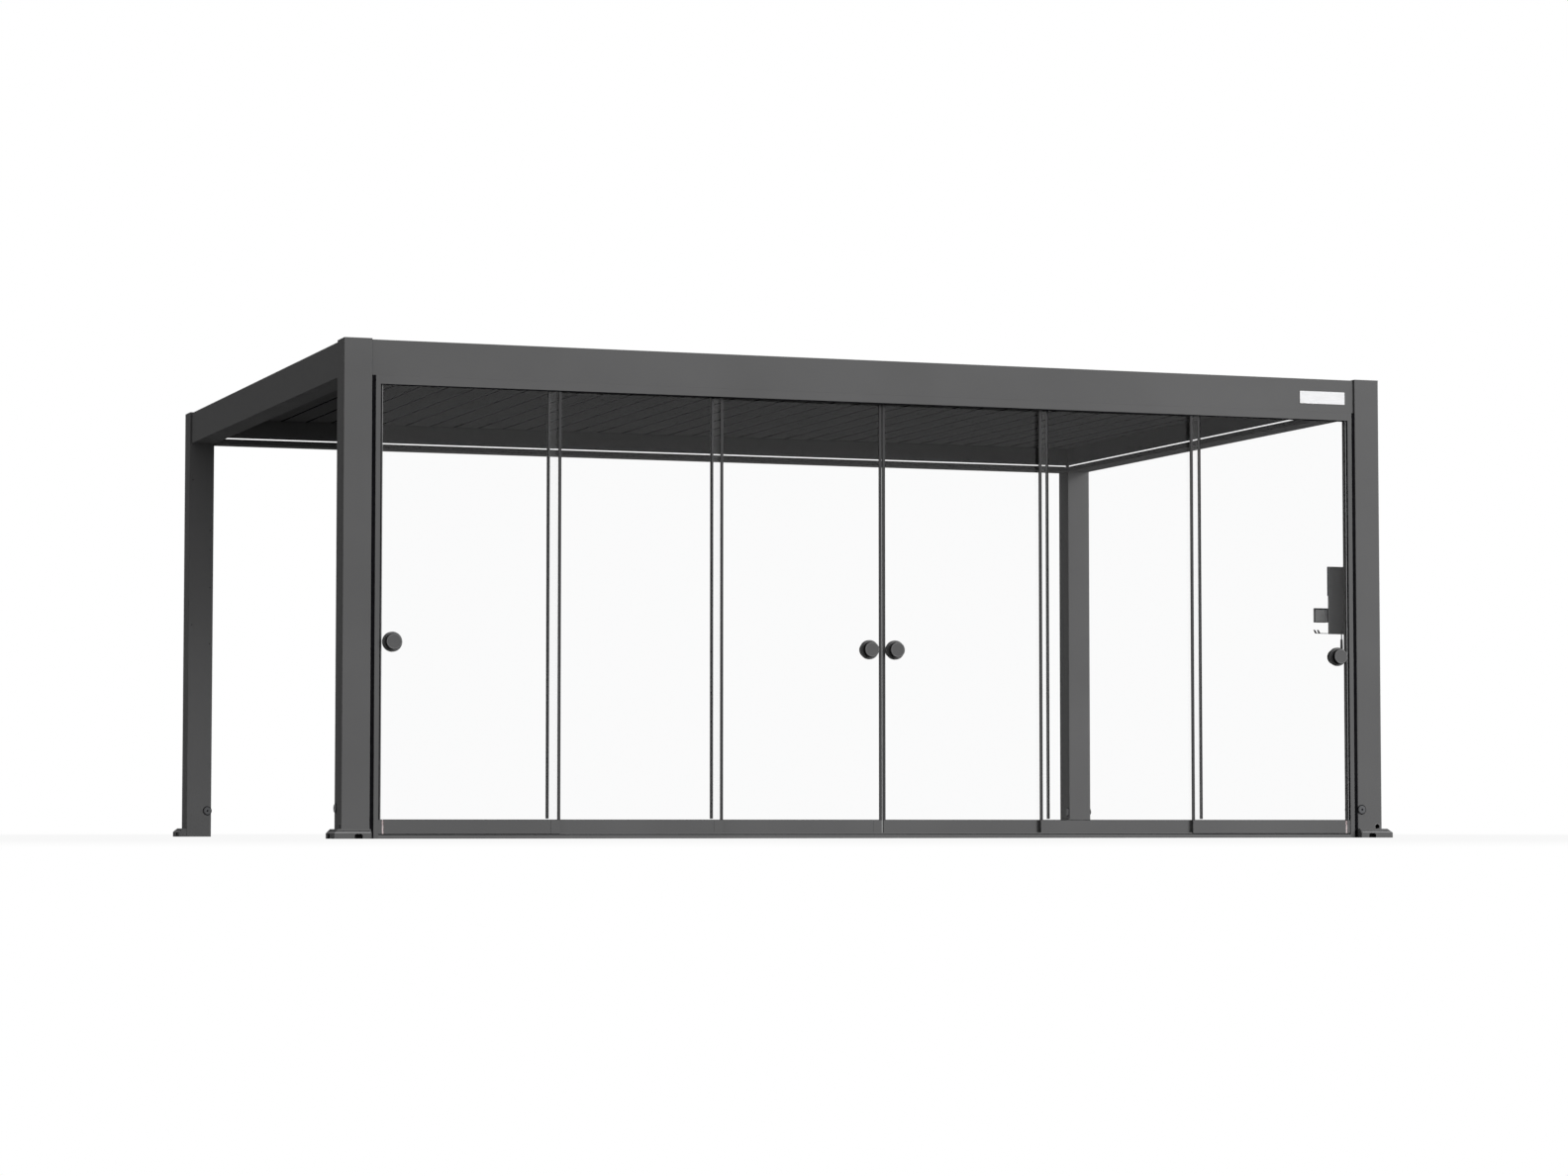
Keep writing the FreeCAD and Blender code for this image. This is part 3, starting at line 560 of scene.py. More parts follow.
class Workpiece:
    """One new mesh piece while it is being made."""

    def __init__(self, name: str) -> None:
        """Starts an empty piece."""
        self.name = name
        self.mesh = bmesh.new()

    def bar(self, outline: Sequence[Vector], run: Vector) -> None:
        """Adds a closed bar.

        Args:
            outline: The flat outline of one end, in order.
            run: The way from that end to the other.
        """
        near = [self.mesh.verts.new(point) for point in outline]
        far = [self.mesh.verts.new(point + run) for point in outline]
        self.mesh.faces.new(near[::-1])
        self.mesh.faces.new(far)
        self.band(near, far)

    def band(self, near: Sequence[bmesh.types.BMVert], far: Sequence[bmesh.types.BMVert]) -> None:
        """Joins two loops of the same length with a band of faces."""
        for i in range(len(near)):
            j = (i + 1) % len(near)
            self.mesh.faces.new((near[i], near[j], far[j], far[i]))

    def extrude(self, axis: Axis, section: Iterable[Flat], start: float, stop: float) -> None:
        """Adds a closed bar along one of the model's axes.

        Args:
            axis: The axis.
            section: The other two coordinates of each corner of the bar's section.
            start: Where it starts on the axis.
            stop: Where it stops.
        """
        self.bar([on_axis(axis, start, point) for point in section], on_axis(axis, stop - start, (0.0, 0.0)))

    def block(self, low: Vector, high: Vector, edge: float) -> None:
        """Adds an upright block whose four upright edges are cut off.

        Args:
            low: Its lowest corner.
            high: Its highest corner.
            edge: The width of the cut.
        """
        section = ((low.x + edge, low.y), (high.x - edge, low.y), (high.x, low.y + edge),
                   (high.x, high.y - edge), (high.x - edge, high.y), (low.x + edge, high.y),
                   (low.x, high.y - edge), (low.x, low.y + edge))
        self.extrude(Axis.Z, section, low.z, high.z)

    def ring(self, outer: Sequence[Vector], inner: Sequence[Vector], run: Vector) -> None:
        """Adds a closed collar between two outlines that have the same number of points.

        Args:
            outer: The outside outline of one end.
            inner: The inside outline of that end.
            run: The way from that end to the other.
        """
        loops = [[self.mesh.verts.new(point + step) for point in line]
                 for line, step in ((outer, Vector()), (outer, run), (inner, run), (inner, Vector()))]
        for near, far in zip(loops, loops[1:] + loops[:1]):
            self.band(near, far)

    def turned(self, profile: Sequence[Flat], centre: Vector, axis: Vector, sides: int) -> None:
        """Adds a turned form that is closed at both ends of its axis.

        Args:
            profile: Radius and distance along the axis of each point, the first and last on the axis.
            centre: Where the distance is 0.
            axis: The axis, of length 1.
            sides: How many flat sides stand for the round.
        """
        across = axis.orthogonal().normalized()
        other = axis.cross(across)
        first = self.mesh.verts.new(centre + axis * profile[0][1])
        last = self.mesh.verts.new(centre + axis * profile[-1][1])
        loops = []
        for radius, along in profile[1:-1]:
            angles = [math.tau * i / sides for i in range(sides)]
            loops.append([self.mesh.verts.new(centre + axis * along
                                              + (across * math.cos(angle) + other * math.sin(angle)) * radius)
                          for angle in angles])
        for i in range(sides):
            j = (i + 1) % sides
            self.mesh.faces.new((first, loops[0][j], loops[0][i]))
            self.mesh.faces.new((last, loops[-1][i], loops[-1][j]))
        for near, far in zip(loops, loops[1:]):
            self.band(near, far)

    def spike(self, foot: Vector, tip: Vector, width: float) -> None:
        """Adds one fibre: a thin three-sided spike.

        Args:
            foot: The middle of its foot.
            tip: Its point.
            width: The width of its foot.
        """
        along = (tip - foot).normalized()
        across = along.orthogonal().normalized() * width
        other = along.cross(across)
        angles = [math.tau * k / 3 for k in range(3)]
        base = [self.mesh.verts.new(foot + across * math.cos(angle) + other * math.sin(angle))
                for angle in angles]
        point = self.mesh.verts.new(tip)
        self.mesh.faces.new(base[::-1])
        for k in range(3):
            self.mesh.faces.new((base[k], base[(k + 1) % 3], point))

    def done(self, palette: Palette, finish: str, slot: str = "", body: Body = Body.FRAME, bevel: float = 0.0,
             smooth: bool = False) -> bpy.types.Object:
        """Turns the faces into a piece that rides on a body.

        Args:
            palette: The finishes.
            finish: The name of the piece's finish.
            slot: The record's slot for the piece, or nothing where the finish has the slot's name; it is not
                used.
            body: The CAD body it moves with.
            bevel: The width of its rounded edges in metres, or 0 for none.
            smooth: True for a turned form.

        Returns:
            The finished object.
        """
        bmesh.ops.recalc_face_normals(self.mesh, faces=self.mesh.faces)
        data = bpy.data.meshes.new(self.name)
        self.mesh.to_mesh(data)
        self.mesh.free()
        piece = bpy.data.objects.new(self.name, data)
        bpy.context.scene.collection.objects.link(piece)
        if smooth:
            data.shade_smooth()
            data.set_sharp_from_angle(angle=SHARP_ANGLE)
        if bevel:
            rounding = piece.modifiers.new("rounding", "BEVEL")
            rounding.width = bevel
            rounding.segments = ROUNDING_STEPS
            rounding.limit_method = "ANGLE"
        palette.paint(piece, finish)
        slot = slot or finish
        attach(piece, body.value)
        LOG.info("%s: %d faces", self.name, len(data.polygons))
        return piece


@dataclass(frozen=True)
class CornerPost:
    """A corner post, and how far it is turned from the front right one."""

    name: str
    quarter_turns: int

    def turn(self, way: Vector) -> Vector:
        """Turns a direction as this post is turned."""
        return Matrix.Rotation(math.radians(90 * self.quarter_turns), 3, "Z") @ way

    def place(self, points: Iterable[Vector]) -> list[Vector]:
        """Turns points given from the post's own centre line into the model's frame."""
        low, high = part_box(f"post_{self.name}")
        centre = Vector(((low.x + high.x) / 2, (low.y + high.y) / 2, 0.0))
        return [self.turn(point) + centre for point in points]


CORNERS = (CornerPost("front_right", 0), CornerPost("rear_right", 1), CornerPost("rear_left", 2),
           CornerPost("front_left", 3))


@dataclass
class SubAssembly:
    """A group of added pieces."""

    palette: Palette

    def make(self) -> None:
        """Makes the pieces."""
        raise NotImplementedError(type(self).__name__)


@dataclass
class PostFeet(SubAssembly):
    """The star sockets and washers of the bolts, the collars of the rain outlets and the skirts' beads; the
    collars and beads are painted pale as highlights, and a dark strip above each bead is painted shade.
    """

    bolt_offset: float = 51 * MM
    bolt_height: float = 157 * MM
    post_half: float = 75 * MM
    head_height: float = 7 * MM
    head_radius: float = 23 * MM
    socket_depth: float = 4 * MM
    socket_radius: float = 6 * MM
    star_lobes: int = 6
    star_outer: float = 4.6 * MM
    star_inner: float = 3.2 * MM
    star_rise: float = 3.2 * MM
    floor_rise: float = 0.32 * MM
    washer_width: float = 4.5 * MM
    washer_height: float = 1.2 * MM
    skirt_reach: float = 120 * MM
    skirt_inner: float = 75 * MM
    skirt_fold: float = 28 * MM
    bead_width: float = 9 * MM
    bead_proud: float = 0.7 * MM
    dark_line_width: float = 2.5 * MM
    outlet_offset: float = 47 * MM
    outlet_width: float = 28 * MM
    outlet_height: float = 26 * MM
    outlet_sill: float = 50.5 * MM
    arch_steps: int = 14
    collar_width: float = 3.4 * MM
    collar_lap: float = 0.4 * MM
    collar_proud: float = 1.0 * MM

    def star(self, centre: Vector, sides: int) -> list[Vector]:
        """A star's outline that faces the front, as points."""
        points = []
        for spoke in circle(Vector(), 1.0, sides):
            share = 0.5 + 0.5 * math.cos(math.atan2(spoke.z, spoke.x) * self.star_lobes)
            points.append(centre + spoke * (self.star_inner + (self.star_outer - self.star_inner) * share))
        return points

    def bolt_heads(self) -> None:
        """Makes the star-shaped inserts, the near-black floors behind them, which paint the shade inside each
        socket, and the washers under the heads.
        """
        inserts = Workpiece("bolt_stars")
        floors = Workpiece("bolt_socket_shades")
        washers = Workpiece("bolt_washers")
        sides = 8 * self.star_lobes
        for corner in CORNERS:
            for side in (-1, 1):
                out = corner.turn(Vector((0, side, 0)))
                seat = Vector((-self.bolt_offset, side * self.post_half, self.bolt_height))
                centre = seat + Vector((0, side * (self.head_height - self.socket_depth), 0))
                star = corner.place(self.star(centre, sides))
                rim = corner.place(circle(centre, self.socket_radius, sides))
                inserts.ring(rim, star, out * self.star_rise)
                # The near-black star floor is painted shade inside the socket.
                floors.bar(star, out * self.floor_rise)
                washers.ring(corner.place(circle(seat, self.head_radius + self.washer_width, sides)),
                             corner.place(circle(seat, self.head_radius, sides)), out * self.washer_height)
        washers.done(self.palette, "seal_rubber")
        inserts.done(self.palette, "dark_steel", "bolt_steel")
        floors.done(self.palette, "black_and_painted_shade", "bolt_steel")

    def arch(self, grow: float) -> list[Vector]:
        """The arched outline of a rain outlet on a post's front face.

        Args:
            grow: How far outside the hole's edge it runs.

        Returns:
            Its points, from the post's centre line.
        """
        half = self.outlet_width / 2 + grow
        foot = self.outlet_sill - grow
        spring = self.outlet_sill + self.outlet_height - self.outlet_width / 2
        turns = [math.pi * i / self.arch_steps for i in range(self.arch_steps + 1)]
        flat = [(half, foot), *((half * math.cos(turn), spring + half * math.sin(turn)) for turn in turns),
                (-half, foot)]
        face = -self.post_half - self.collar_proud
        return [Vector((self.outlet_offset + x, face, z)) for x, z in flat]

    def collars(self) -> None:
        """Makes the thin collar round each rain outlet, painted pale as a highlight ring."""
        collars = Workpiece("outlet_highlight_collars")
        for corner in CORNERS:
            collars.ring(corner.place(self.arch(self.collar_width)), corner.place(self.arch(-self.collar_lap)),
                         corner.turn(Vector((0, self.collar_proud, 0))))
        collars.done(self.palette, "highlight_paint", "frame_paint", bevel=0.3 * MM)

    def bevel_strip(self, piece: Workpiece, start: float, width: float) -> None:
        """Lays a thin strip along the bevel of each skirt, mitred at its corner.

        Args:
            piece: The piece that the strips become part of.
            start: How far above the bevel's fold it starts.
            width: Its rise along the bevel.
        """
        section = [Vector((self.skirt_reach - rise, rise - self.skirt_reach, self.skirt_fold + rise + proud))
                   for rise, proud in ((start, 0.0), (start, self.bead_proud), (start + width, self.bead_proud),
                                       (start + width, 0.0))]
        length = self.skirt_reach + self.skirt_inner - start - width
        for corner in CORNERS:
            for run in (Vector((-length, 0, 0)), Vector((0, length, 0))):
                piece.bar(corner.place(section), corner.turn(run))

    def make(self) -> None:
        """Makes the pieces at the four feet; the pale bead along each skirt is a painted highlight line and the
        near-black strip above it a painted shade line.
        """
        self.bolt_heads()
        self.collars()
        # Painted highlight line along the bevel.
        beads = Workpiece("skirt_highlight_beads")
        self.bevel_strip(beads, 0.0, self.bead_width)
        beads.done(self.palette, "highlight_paint", "frame_paint")
        # Painted shade line just above the bead.
        shade_strips = Workpiece("skirt_shade_lines")
        self.bevel_strip(shade_strips, self.bead_width, self.dark_line_width)
        shade_strips.done(self.palette, "seal_rubber")


@dataclass
class PilotHoles(SubAssembly):
    """Small drilled holes with a raised burr on the inner faces of the rear posts; each hole is a near-black
    disc of painted shade.
    """

    outer_x: float = 2.979
    inner_x: float = 2.869
    outer_heights: tuple[float, ...] = (2.175, 1.290)
    inner_heights: tuple[float, ...] = (1.868, 1.747, 1.5185, 1.174)
    hole_radius: float = 2.6 * MM
    burr_radius: float = 4.4 * MM
    burr_height: float = 0.7 * MM
    floor_height: float = 0.15 * MM
    sides: int = 16

    def make(self) -> None:
        """Makes the burrs and, inside them, near-black discs that paint the shade of the holes."""
        burrs = Workpiece("post_hole_burrs")
        holes = Workpiece("post_hole_shades")
        places = [(self.outer_x, z) for z in self.outer_heights]
        places += [(self.inner_x, z) for z in self.inner_heights]
        plug = [(0, 0), (self.hole_radius, 0), (self.hole_radius, self.floor_height), (0, self.floor_height)]
        out = Vector((0, -1, 0))
        for side, node in ((-1, "post_rear_left"), (1, "post_rear_right")):
            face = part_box(node)[0].y
            for x, z in places:
                centre = Vector((side * x, face, z))
                # A thin near-black disc: painted shade of the hole.
                holes.turned(plug, centre, out, self.sides)
                burrs.ring(circle(centre, self.burr_radius, self.sides),
                           circle(centre, self.hole_radius, self.sides), out * self.burr_height)
        burrs.done(self.palette, "frame_paint", bevel=0.3 * MM)
        holes.done(self.palette, "black_and_painted_shade", "frame_paint")


@dataclass
class LouvreFittings(SubAssembly):
    """The seals under the louvres' seams, which also paint the seams' shade, and the pivot pins and notches on
    the gutters' inner walls; the notches are flat patches of painted shade.
    """

    pin_height: float = 2.524
    pin_offset: float = 38 * MM
    pin_radius: float = 4.6 * MM
    pin_rise: float = 1.8 * MM
    pin_sides: int = 12
    notch_low: float = 2.540
    notch_high: float = 2.5515
    notch_width: float = 8 * MM
    notch_rise: float = 0.5 * MM
    seam_width: float = 4 * MM
    seal_width: float = 15 * MM
    seal_drop: float = 1.2 * MM

    def make(self) -> None:
        """Makes the rounded seal under each seam, which also paints the seam's shade, and a pin and a notch for
        it, front and rear; the notch is a flat patch of painted shade.
        """
        seals = Workpiece("louvre_seam_shade_seals")
        pins = Workpiece("louvre_pins")
        notches = Workpiece("louvre_notch_shades")
        seams = [low.x - self.seam_width / 2 for low, high in loose_parts("roof_louvres")]
        seams.append(2 * seams[-1] - seams[-2])
        gutters = loose_parts("gutters")
        front = min(high.y for low, high in gutters)
        rear = max(low.y for low, high in gutters)
        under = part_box("roof_louvres")[0].z
        half, drop = self.seal_width / 2, self.seal_drop
        notch_half = self.notch_width / 2
        round_seal = ((-half, 0.0), (-half * 0.8, -drop * 0.7), (-half * 0.4, -drop),
                      (half * 0.4, -drop), (half * 0.8, -drop * 0.7), (half, 0.0))
        pin = [(0, 0), (self.pin_radius, 0), (self.pin_radius, self.pin_rise * 0.6),
               (self.pin_radius * 0.7, self.pin_rise), (0, self.pin_rise)]
        for x in seams:
            # A black seal wider than the seam: partly a rubber seal, partly painted shade of the seam.
            seals.extrude(Axis.Y, [(x + across, under + up) for across, up in round_seal], front, rear)
        seals.done(self.palette, "seal_rubber")
        for face, way in ((front, 1), (rear, -1)):
            for x in seams:
                centre = Vector((x - self.pin_offset, face, self.pin_height))
                pins.turned(pin, centre, Vector((0, way, 0)), self.pin_sides)
                # A flat near-black patch: painted shade of a notch.
                notch = oblong(x - notch_half, self.notch_low, x + notch_half, self.notch_high)
                notches.extrude(Axis.Y, notch, face, face + way * self.notch_rise)
        pins.done(self.palette, "dark_steel", "bolt_steel", smooth=True)
        notches.done(self.palette, "black_and_painted_shade", "frame_paint")


@dataclass
class LightStrips(SubAssembly):
    """The end caps of the four light strips and the black lips above and below them, which paint the shadow
    gaps along each cover.
    """

    cap_length: float = 5 * MM
    cap_proud: float = 0.8 * MM
    slant: float = 3 * MM
    upper_lap: float = 0.4 * MM
    lower_lap: float = 3.4 * MM
    lip_margin: float = 2.0 * MM
    lip_proud: float = 0.7 * MM

    def make(self) -> None:
        """Makes the two black lips that hold each cover in its groove and paint the shadow gaps along it, and a
        slanted cap at each end.
        """
        lips = Workpiece("light_shade_lips")
        caps = Workpiece("light_end_caps")
        for low, high in loose_parts("led_strips"):
            axis = long_axis(low, high)
            side = Axis.Y if axis is Axis.X else Axis.X
            middle = (low[side] + high[side]) / 2
            inward = -math.copysign(1, middle)
            face = low[side] if middle > 0 else high[side]
            for edge, way, lap in ((low.z, -1, self.lower_lap), (high.z, 1, self.upper_lap)):
                section = oblong(0.0, -lap, self.lip_proud, self.lip_margin)
                lips.extrude(axis, [(face + inward * out, edge + way * up) for out, up in section],
                             low[axis], high[axis])
            half = (high[side] - low[side]) / 2
            back, front = middle - inward * half, middle + inward * (half + self.cap_proud)
            for end, sign in ((low[axis], -1), (high[axis], 1)):
                outline = ((end, back), (end, front), (end + sign * (self.cap_length - self.slant), front),
                           (end + sign * self.cap_length, back))
                caps.bar([on_axis(axis, along, (across, low.z)) for along, across in outline],
                         Vector((0, 0, high.z - low.z)))
        # Near-black lips: painted shadow gaps above and below each cover.
        lips.done(self.palette, "seal_rubber")
        caps.done(self.palette, "light_diffuser", bevel=0.3 * MM)


@dataclass
class HeadBrushes(SubAssembly):
    """The dark pile strips inside the top track's channels."""

    sill: float = 4 * MM
    height: float = 8 * MM
    backing: float = 1.2 * MM
    reach: float = 4.4 * MM

    def make(self) -> None:
        """Makes a strip on each wall of each channel."""
        strips = Workpiece("head_brushes")
        walls = sorted(loose_parts("door_top_track_walls"), key=lambda part: part[0].y)
        shares = ((0.0, 0.0), (self.backing, 0.0), (self.backing, 0.25), (self.reach, 0.42),
                  (self.reach, 0.58), (self.backing, 0.75), (self.backing, 1.0), (0.0, 1.0))
        for before, after in zip(walls, walls[1:]):
            for face, way in ((before[1].y, 1), (after[0].y, -1)):
                foot = before[0].z + self.sill
                section = [(face + way * across, foot + share * self.height) for across, share in shares]
                strips.extrude(Axis.X, section, before[0].x, before[1].x)
        strips.done(self.palette, "dark_pile", "seal_rubber")


@dataclass
class FrameSeals(SubAssembly):
    """The black seals that show between the frame's members and round the door opening; besides sealing, they
    paint the shade in the gaps and recesses there.
    """

    jamb_front: float = -2.0735
    jamb_round: float = 3 * MM
    jamb_gap: float = 1 * MM
    head_height: float = 4 * MM
    sill_height: float = 3.5 * MM
    dark_line_width: float = 3 * MM
    joint_proud: float = 0.4 * MM

    def jamb_lips(self) -> None:
        """Makes the rounded rubber between each jamb and its post, brought out to the jamb's front so that it
        also paints the recess's shade.
        """
        lips = Workpiece("jamb_seal_shade_lips")
        for low, high in loose_parts("jamb_seals"):
            front, corner = self.jamb_front, self.jamb_round
            section = ((low.x, low.y), (low.x, front + corner), (low.x + corner, front),
                       (high.x - corner, front), (high.x, front + corner), (high.x, low.y))
            lips.extrude(Axis.Z, section, self.jamb_gap, high.z - self.jamb_gap)
        lips.done(self.palette, "seal_rubber")

    def door_gap_shade_seals(self) -> None:
        """Makes the thin seal under the top track's front wall and the one on the bottom track's front lip; the
        lower one is a black strip of painted shade in the gap under the rails.
        """
        wall_low, wall_high = min(loose_parts("door_top_track_walls"), key=lambda part: part[0].y)
        lip_low, lip_high = min(loose_parts("door_bottom_track_ribs"), key=lambda part: part[0].y)
        seals = Workpiece("door_gap_shade_seals")
        for section in (oblong(wall_low.y, wall_low.z, wall_high.y, wall_low.z - self.head_height),
                        oblong(lip_low.y, lip_high.z, lip_high.y, lip_high.z + self.sill_height)):
            seals.extrude(Axis.X, section, wall_low.x, wall_high.x)
        seals.done(self.palette, "seal_rubber")

    def joint_gaskets(self) -> None:
        """Makes the gasket on the outer face of each joint between a beam and a post; its black also paints the
        shade line at the step there.
        """
        gaskets = Workpiece("beam_joint_gaskets_and_shade")
        for node in ("beam_front", "beam_rear", "beam_left", "beam_right"):
            low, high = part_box(node)
            axis = long_axis(low, high)
            side = Axis.Y if axis is Axis.X else Axis.X
            outer = high[side] if high[side] > 0 else low[side]
            far = outer + math.copysign(self.joint_proud, outer)
            for end, sign in ((low[axis], -1), (high[axis], 1)):
                outline = oblong(end, outer, end - sign * self.dark_line_width, far)
                gaskets.bar([on_axis(axis, along, (across, low.z)) for along, across in outline],
                            Vector((0, 0, high.z - low.z)))
        gaskets.done(self.palette, "seal_rubber")

    def make(self) -> None:
        """Makes all the seals."""
        self.jamb_lips()
        self.door_gap_shade_seals()
        self.joint_gaskets()


@dataclass
class SwitchBox(SubAssembly):
    """The slim switch box at the right front post, with its cup, hooks, hanging rod and screws."""

    housing_left: float = 2.7375
    front_depth: float = 10 * MM
    rear_inset: float = 22 * MM
    rear_margin: float = 6 * MM
    edge: float = 2 * MM
    shoulder_left: float = 2.7335
    shoulder_sill: float = 1.367
    shoulder_gap: float = 1 * MM
    fine_edge: float = 0.2 * MM
    cup_taper: float = 15 * MM
    cup_wall: float = 3 * MM
    panel_margin: float = 5 * MM
    panel_right: float = 2.7176
    panel_proud: float = 0.8 * MM
    line_left: float = 2.7215
    line_width: float = 3.5 * MM
    hook_sill: float = 3 * MM
    hook_depth: float = 3 * MM
    bar_thickness: float = 2.4 * MM
    bar_left: float = 2.672
    bar_lap: float = 2 * MM
    tail_lap: float = 1 * MM
    prong_feet: tuple[float, ...] = (2.6625, 2.6844)
    prong_lean: float = 13 * MM
    prong_rise: float = 20 * MM
    prong_width: float = 9 * MM
    prong_depth: float = 8 * MM
    rod_thin: float = 3.4 * MM
    rod_neck: float = 6.6 * MM
    rod_foot: float = 8.0 * MM
    rod_end: float = 6.0 * MM
    rod_stem: float = 26 * MM
    rod_round: float = 3 * MM
    rod_sides: int = 24
    seam_left: float = 9.5 * MM
    seam_inset: float = 9 * MM
    seam_width: float = 1.0 * MM
    seam_proud: float = 0.25 * MM
    screw_inset: float = 23 * MM
    screw_radius: float = 3.0 * MM
    screw_rise: float = 0.8 * MM
    screw_sides: int = 20

    def housing(self) -> None:
        """Makes the housing: a front cover with a wider upper part on a narrower back box."""
        low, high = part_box("control_box")
        left, back = self.housing_left, low.y + self.front_depth
        body = Workpiece("switch_box_housing")
        body.block(Vector((left, low.y, low.z)), Vector((high.x, back, high.z)), self.edge)
        body.block(Vector((left + self.rear_inset, back, low.z + self.rear_margin)),
                   Vector((high.x, high.y, high.z - self.rear_margin)), self.edge)
        housing = body.done(self.palette, "box_paint", bevel=0.8 * MM)
        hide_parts("control_box")
        shoulder = Workpiece("switch_box_shoulder")
        gap = self.shoulder_gap
        shoulder.block(Vector((self.shoulder_left, low.y + gap, self.shoulder_sill)),
                       Vector((left, back - gap, high.z - gap)), gap / 2)
        shoulder.done(self.palette, "blue_black", "box_paint")

    def cup(self) -> None:
        """Makes the open cup, which narrows to the rear, and the paler panel and line on its front."""
        low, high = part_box("control_box_cup")
        outlines = []
        for wall in (0.0, self.cup_wall):
            outline = ((low.x + wall, low.y + wall), (self.housing_left - wall, low.y + wall),
                       (self.housing_left - wall, high.y - wall),
                       (low.x + self.cup_taper + wall, high.y - wall))
            outlines.append([Vector((x, y, low.z)) for x, y in outline])
        shell = Workpiece("switch_box_cup")
        shell.ring(outlines[0], outlines[1], Vector((0, 0, high.z - low.z)))
        shell.bar(outlines[1], Vector((0, 0, self.cup_wall)))
        cup = shell.done(self.palette, "dark_steel", "box_paint", bevel=0.5 * MM)
        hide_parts("control_box_cup")
        margin = self.panel_margin
        for name, left, right, finish in (
                ("switch_box_cup_panel", low.x + margin, self.panel_right, "track_paint"),
                ("switch_box_cup_line", self.line_left, self.line_left + self.line_width, "cap_plastic")):
            piece = Workpiece(name)
            piece.block(Vector((left, low.y - self.panel_proud, low.z + margin)),
                        Vector((right, low.y, high.z - 2 * margin)), self.fine_edge)
            piece.done(self.palette, finish, "box_paint")

    def hooks(self) -> None:
        """Makes the thin bar with two slanted prongs."""
        low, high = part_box("control_box_hooks")
        hooks = Workpiece("switch_box_hooks")
        base = low.z + self.hook_sill
        hooks.block(Vector((self.prong_feet[0] - self.bar_lap, low.y, base)),
                    Vector((self.bar_left + self.tail_lap, low.y + self.hook_depth,
                            base + self.bar_thickness / 2)),
                    self.fine_edge)
        hooks.block(Vector((self.bar_left, low.y, base)),
                    Vector((self.housing_left + self.bar_lap, high.y, base + self.bar_thickness)),
                    2 * self.fine_edge)
        half, top = self.prong_width / 2, base + self.prong_rise
        for foot in self.prong_feet:
            tip = foot - self.prong_lean
            section = ((foot - half, base), (foot + half, base), (tip + half, top), (tip - half * 0.6, top))
            hooks.extrude(Axis.Y, section, low.y, low.y + self.prong_depth)
        piece = hooks.done(self.palette, "black_and_painted_shade", "box_paint", bevel=0.5 * MM)
        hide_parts("control_box_hooks")

    def rod(self) -> None:
        """Makes the hanging rod: a thin stem and a grip that widens downwards."""
        low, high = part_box("control_box_rod")
        length = high.z - low.z
        stem, corner = self.rod_stem, self.rod_round
        profile = [(0, 0), (self.rod_thin, 0), (self.rod_thin, stem), (self.rod_neck, stem + corner),
                   (self.rod_neck * 1.1, stem + 0.35 * (length - stem)),
                   (self.rod_foot * 0.93, stem + 0.36 * (length - stem)),
                   (self.rod_foot, length - corner), (self.rod_end, length), (0, length)]
        rod = Workpiece("switch_box_rod")
        top = Vector(((low.x + high.x) / 2, (low.y + high.y) / 2, high.z))
        rod.turned(profile, top, Vector((0, 0, -1)), self.rod_sides)
        piece = rod.done(self.palette, "dark_steel", "box_paint", smooth=True)
        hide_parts("control_box_rod")

    def front_trim(self) -> None:
        """Makes the parting line and the two screws on the front."""
        low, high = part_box("control_box")
        left = low.x + self.seam_left
        outlines = []
        for inset in (self.seam_inset, self.seam_inset + self.seam_width):
            corners = oblong(left + inset, low.z + inset, high.x - inset, high.z - inset)
            outlines.append([Vector((x, low.y, z)) for x, z in corners])
        seam = Workpiece("box_parting_line")
        seam.ring(outlines[0], outlines[1], Vector((0, -self.seam_proud, 0)))
        seam.done(self.palette, "black_and_painted_shade", "box_paint")
        radius, rise = self.screw_radius, self.screw_rise
        profile = [(0, 0), (radius, 0), (radius, rise * 0.5), (radius * 0.6, rise), (0, rise * 0.6)]
        screws = Workpiece("box_screws")
        for z in (low.z + self.screw_inset, high.z - self.screw_inset):
            centre = Vector(((left + high.x) / 2, low.y, z))
            screws.turned(profile, centre, Vector((0, -1, 0)), self.screw_sides)
        screws.done(self.palette, "bolt_steel", smooth=True)

    def make(self) -> None:
        """Makes the whole box."""
        self.housing()
        self.cup()
        self.hooks()
        self.rod()
        self.front_trim()


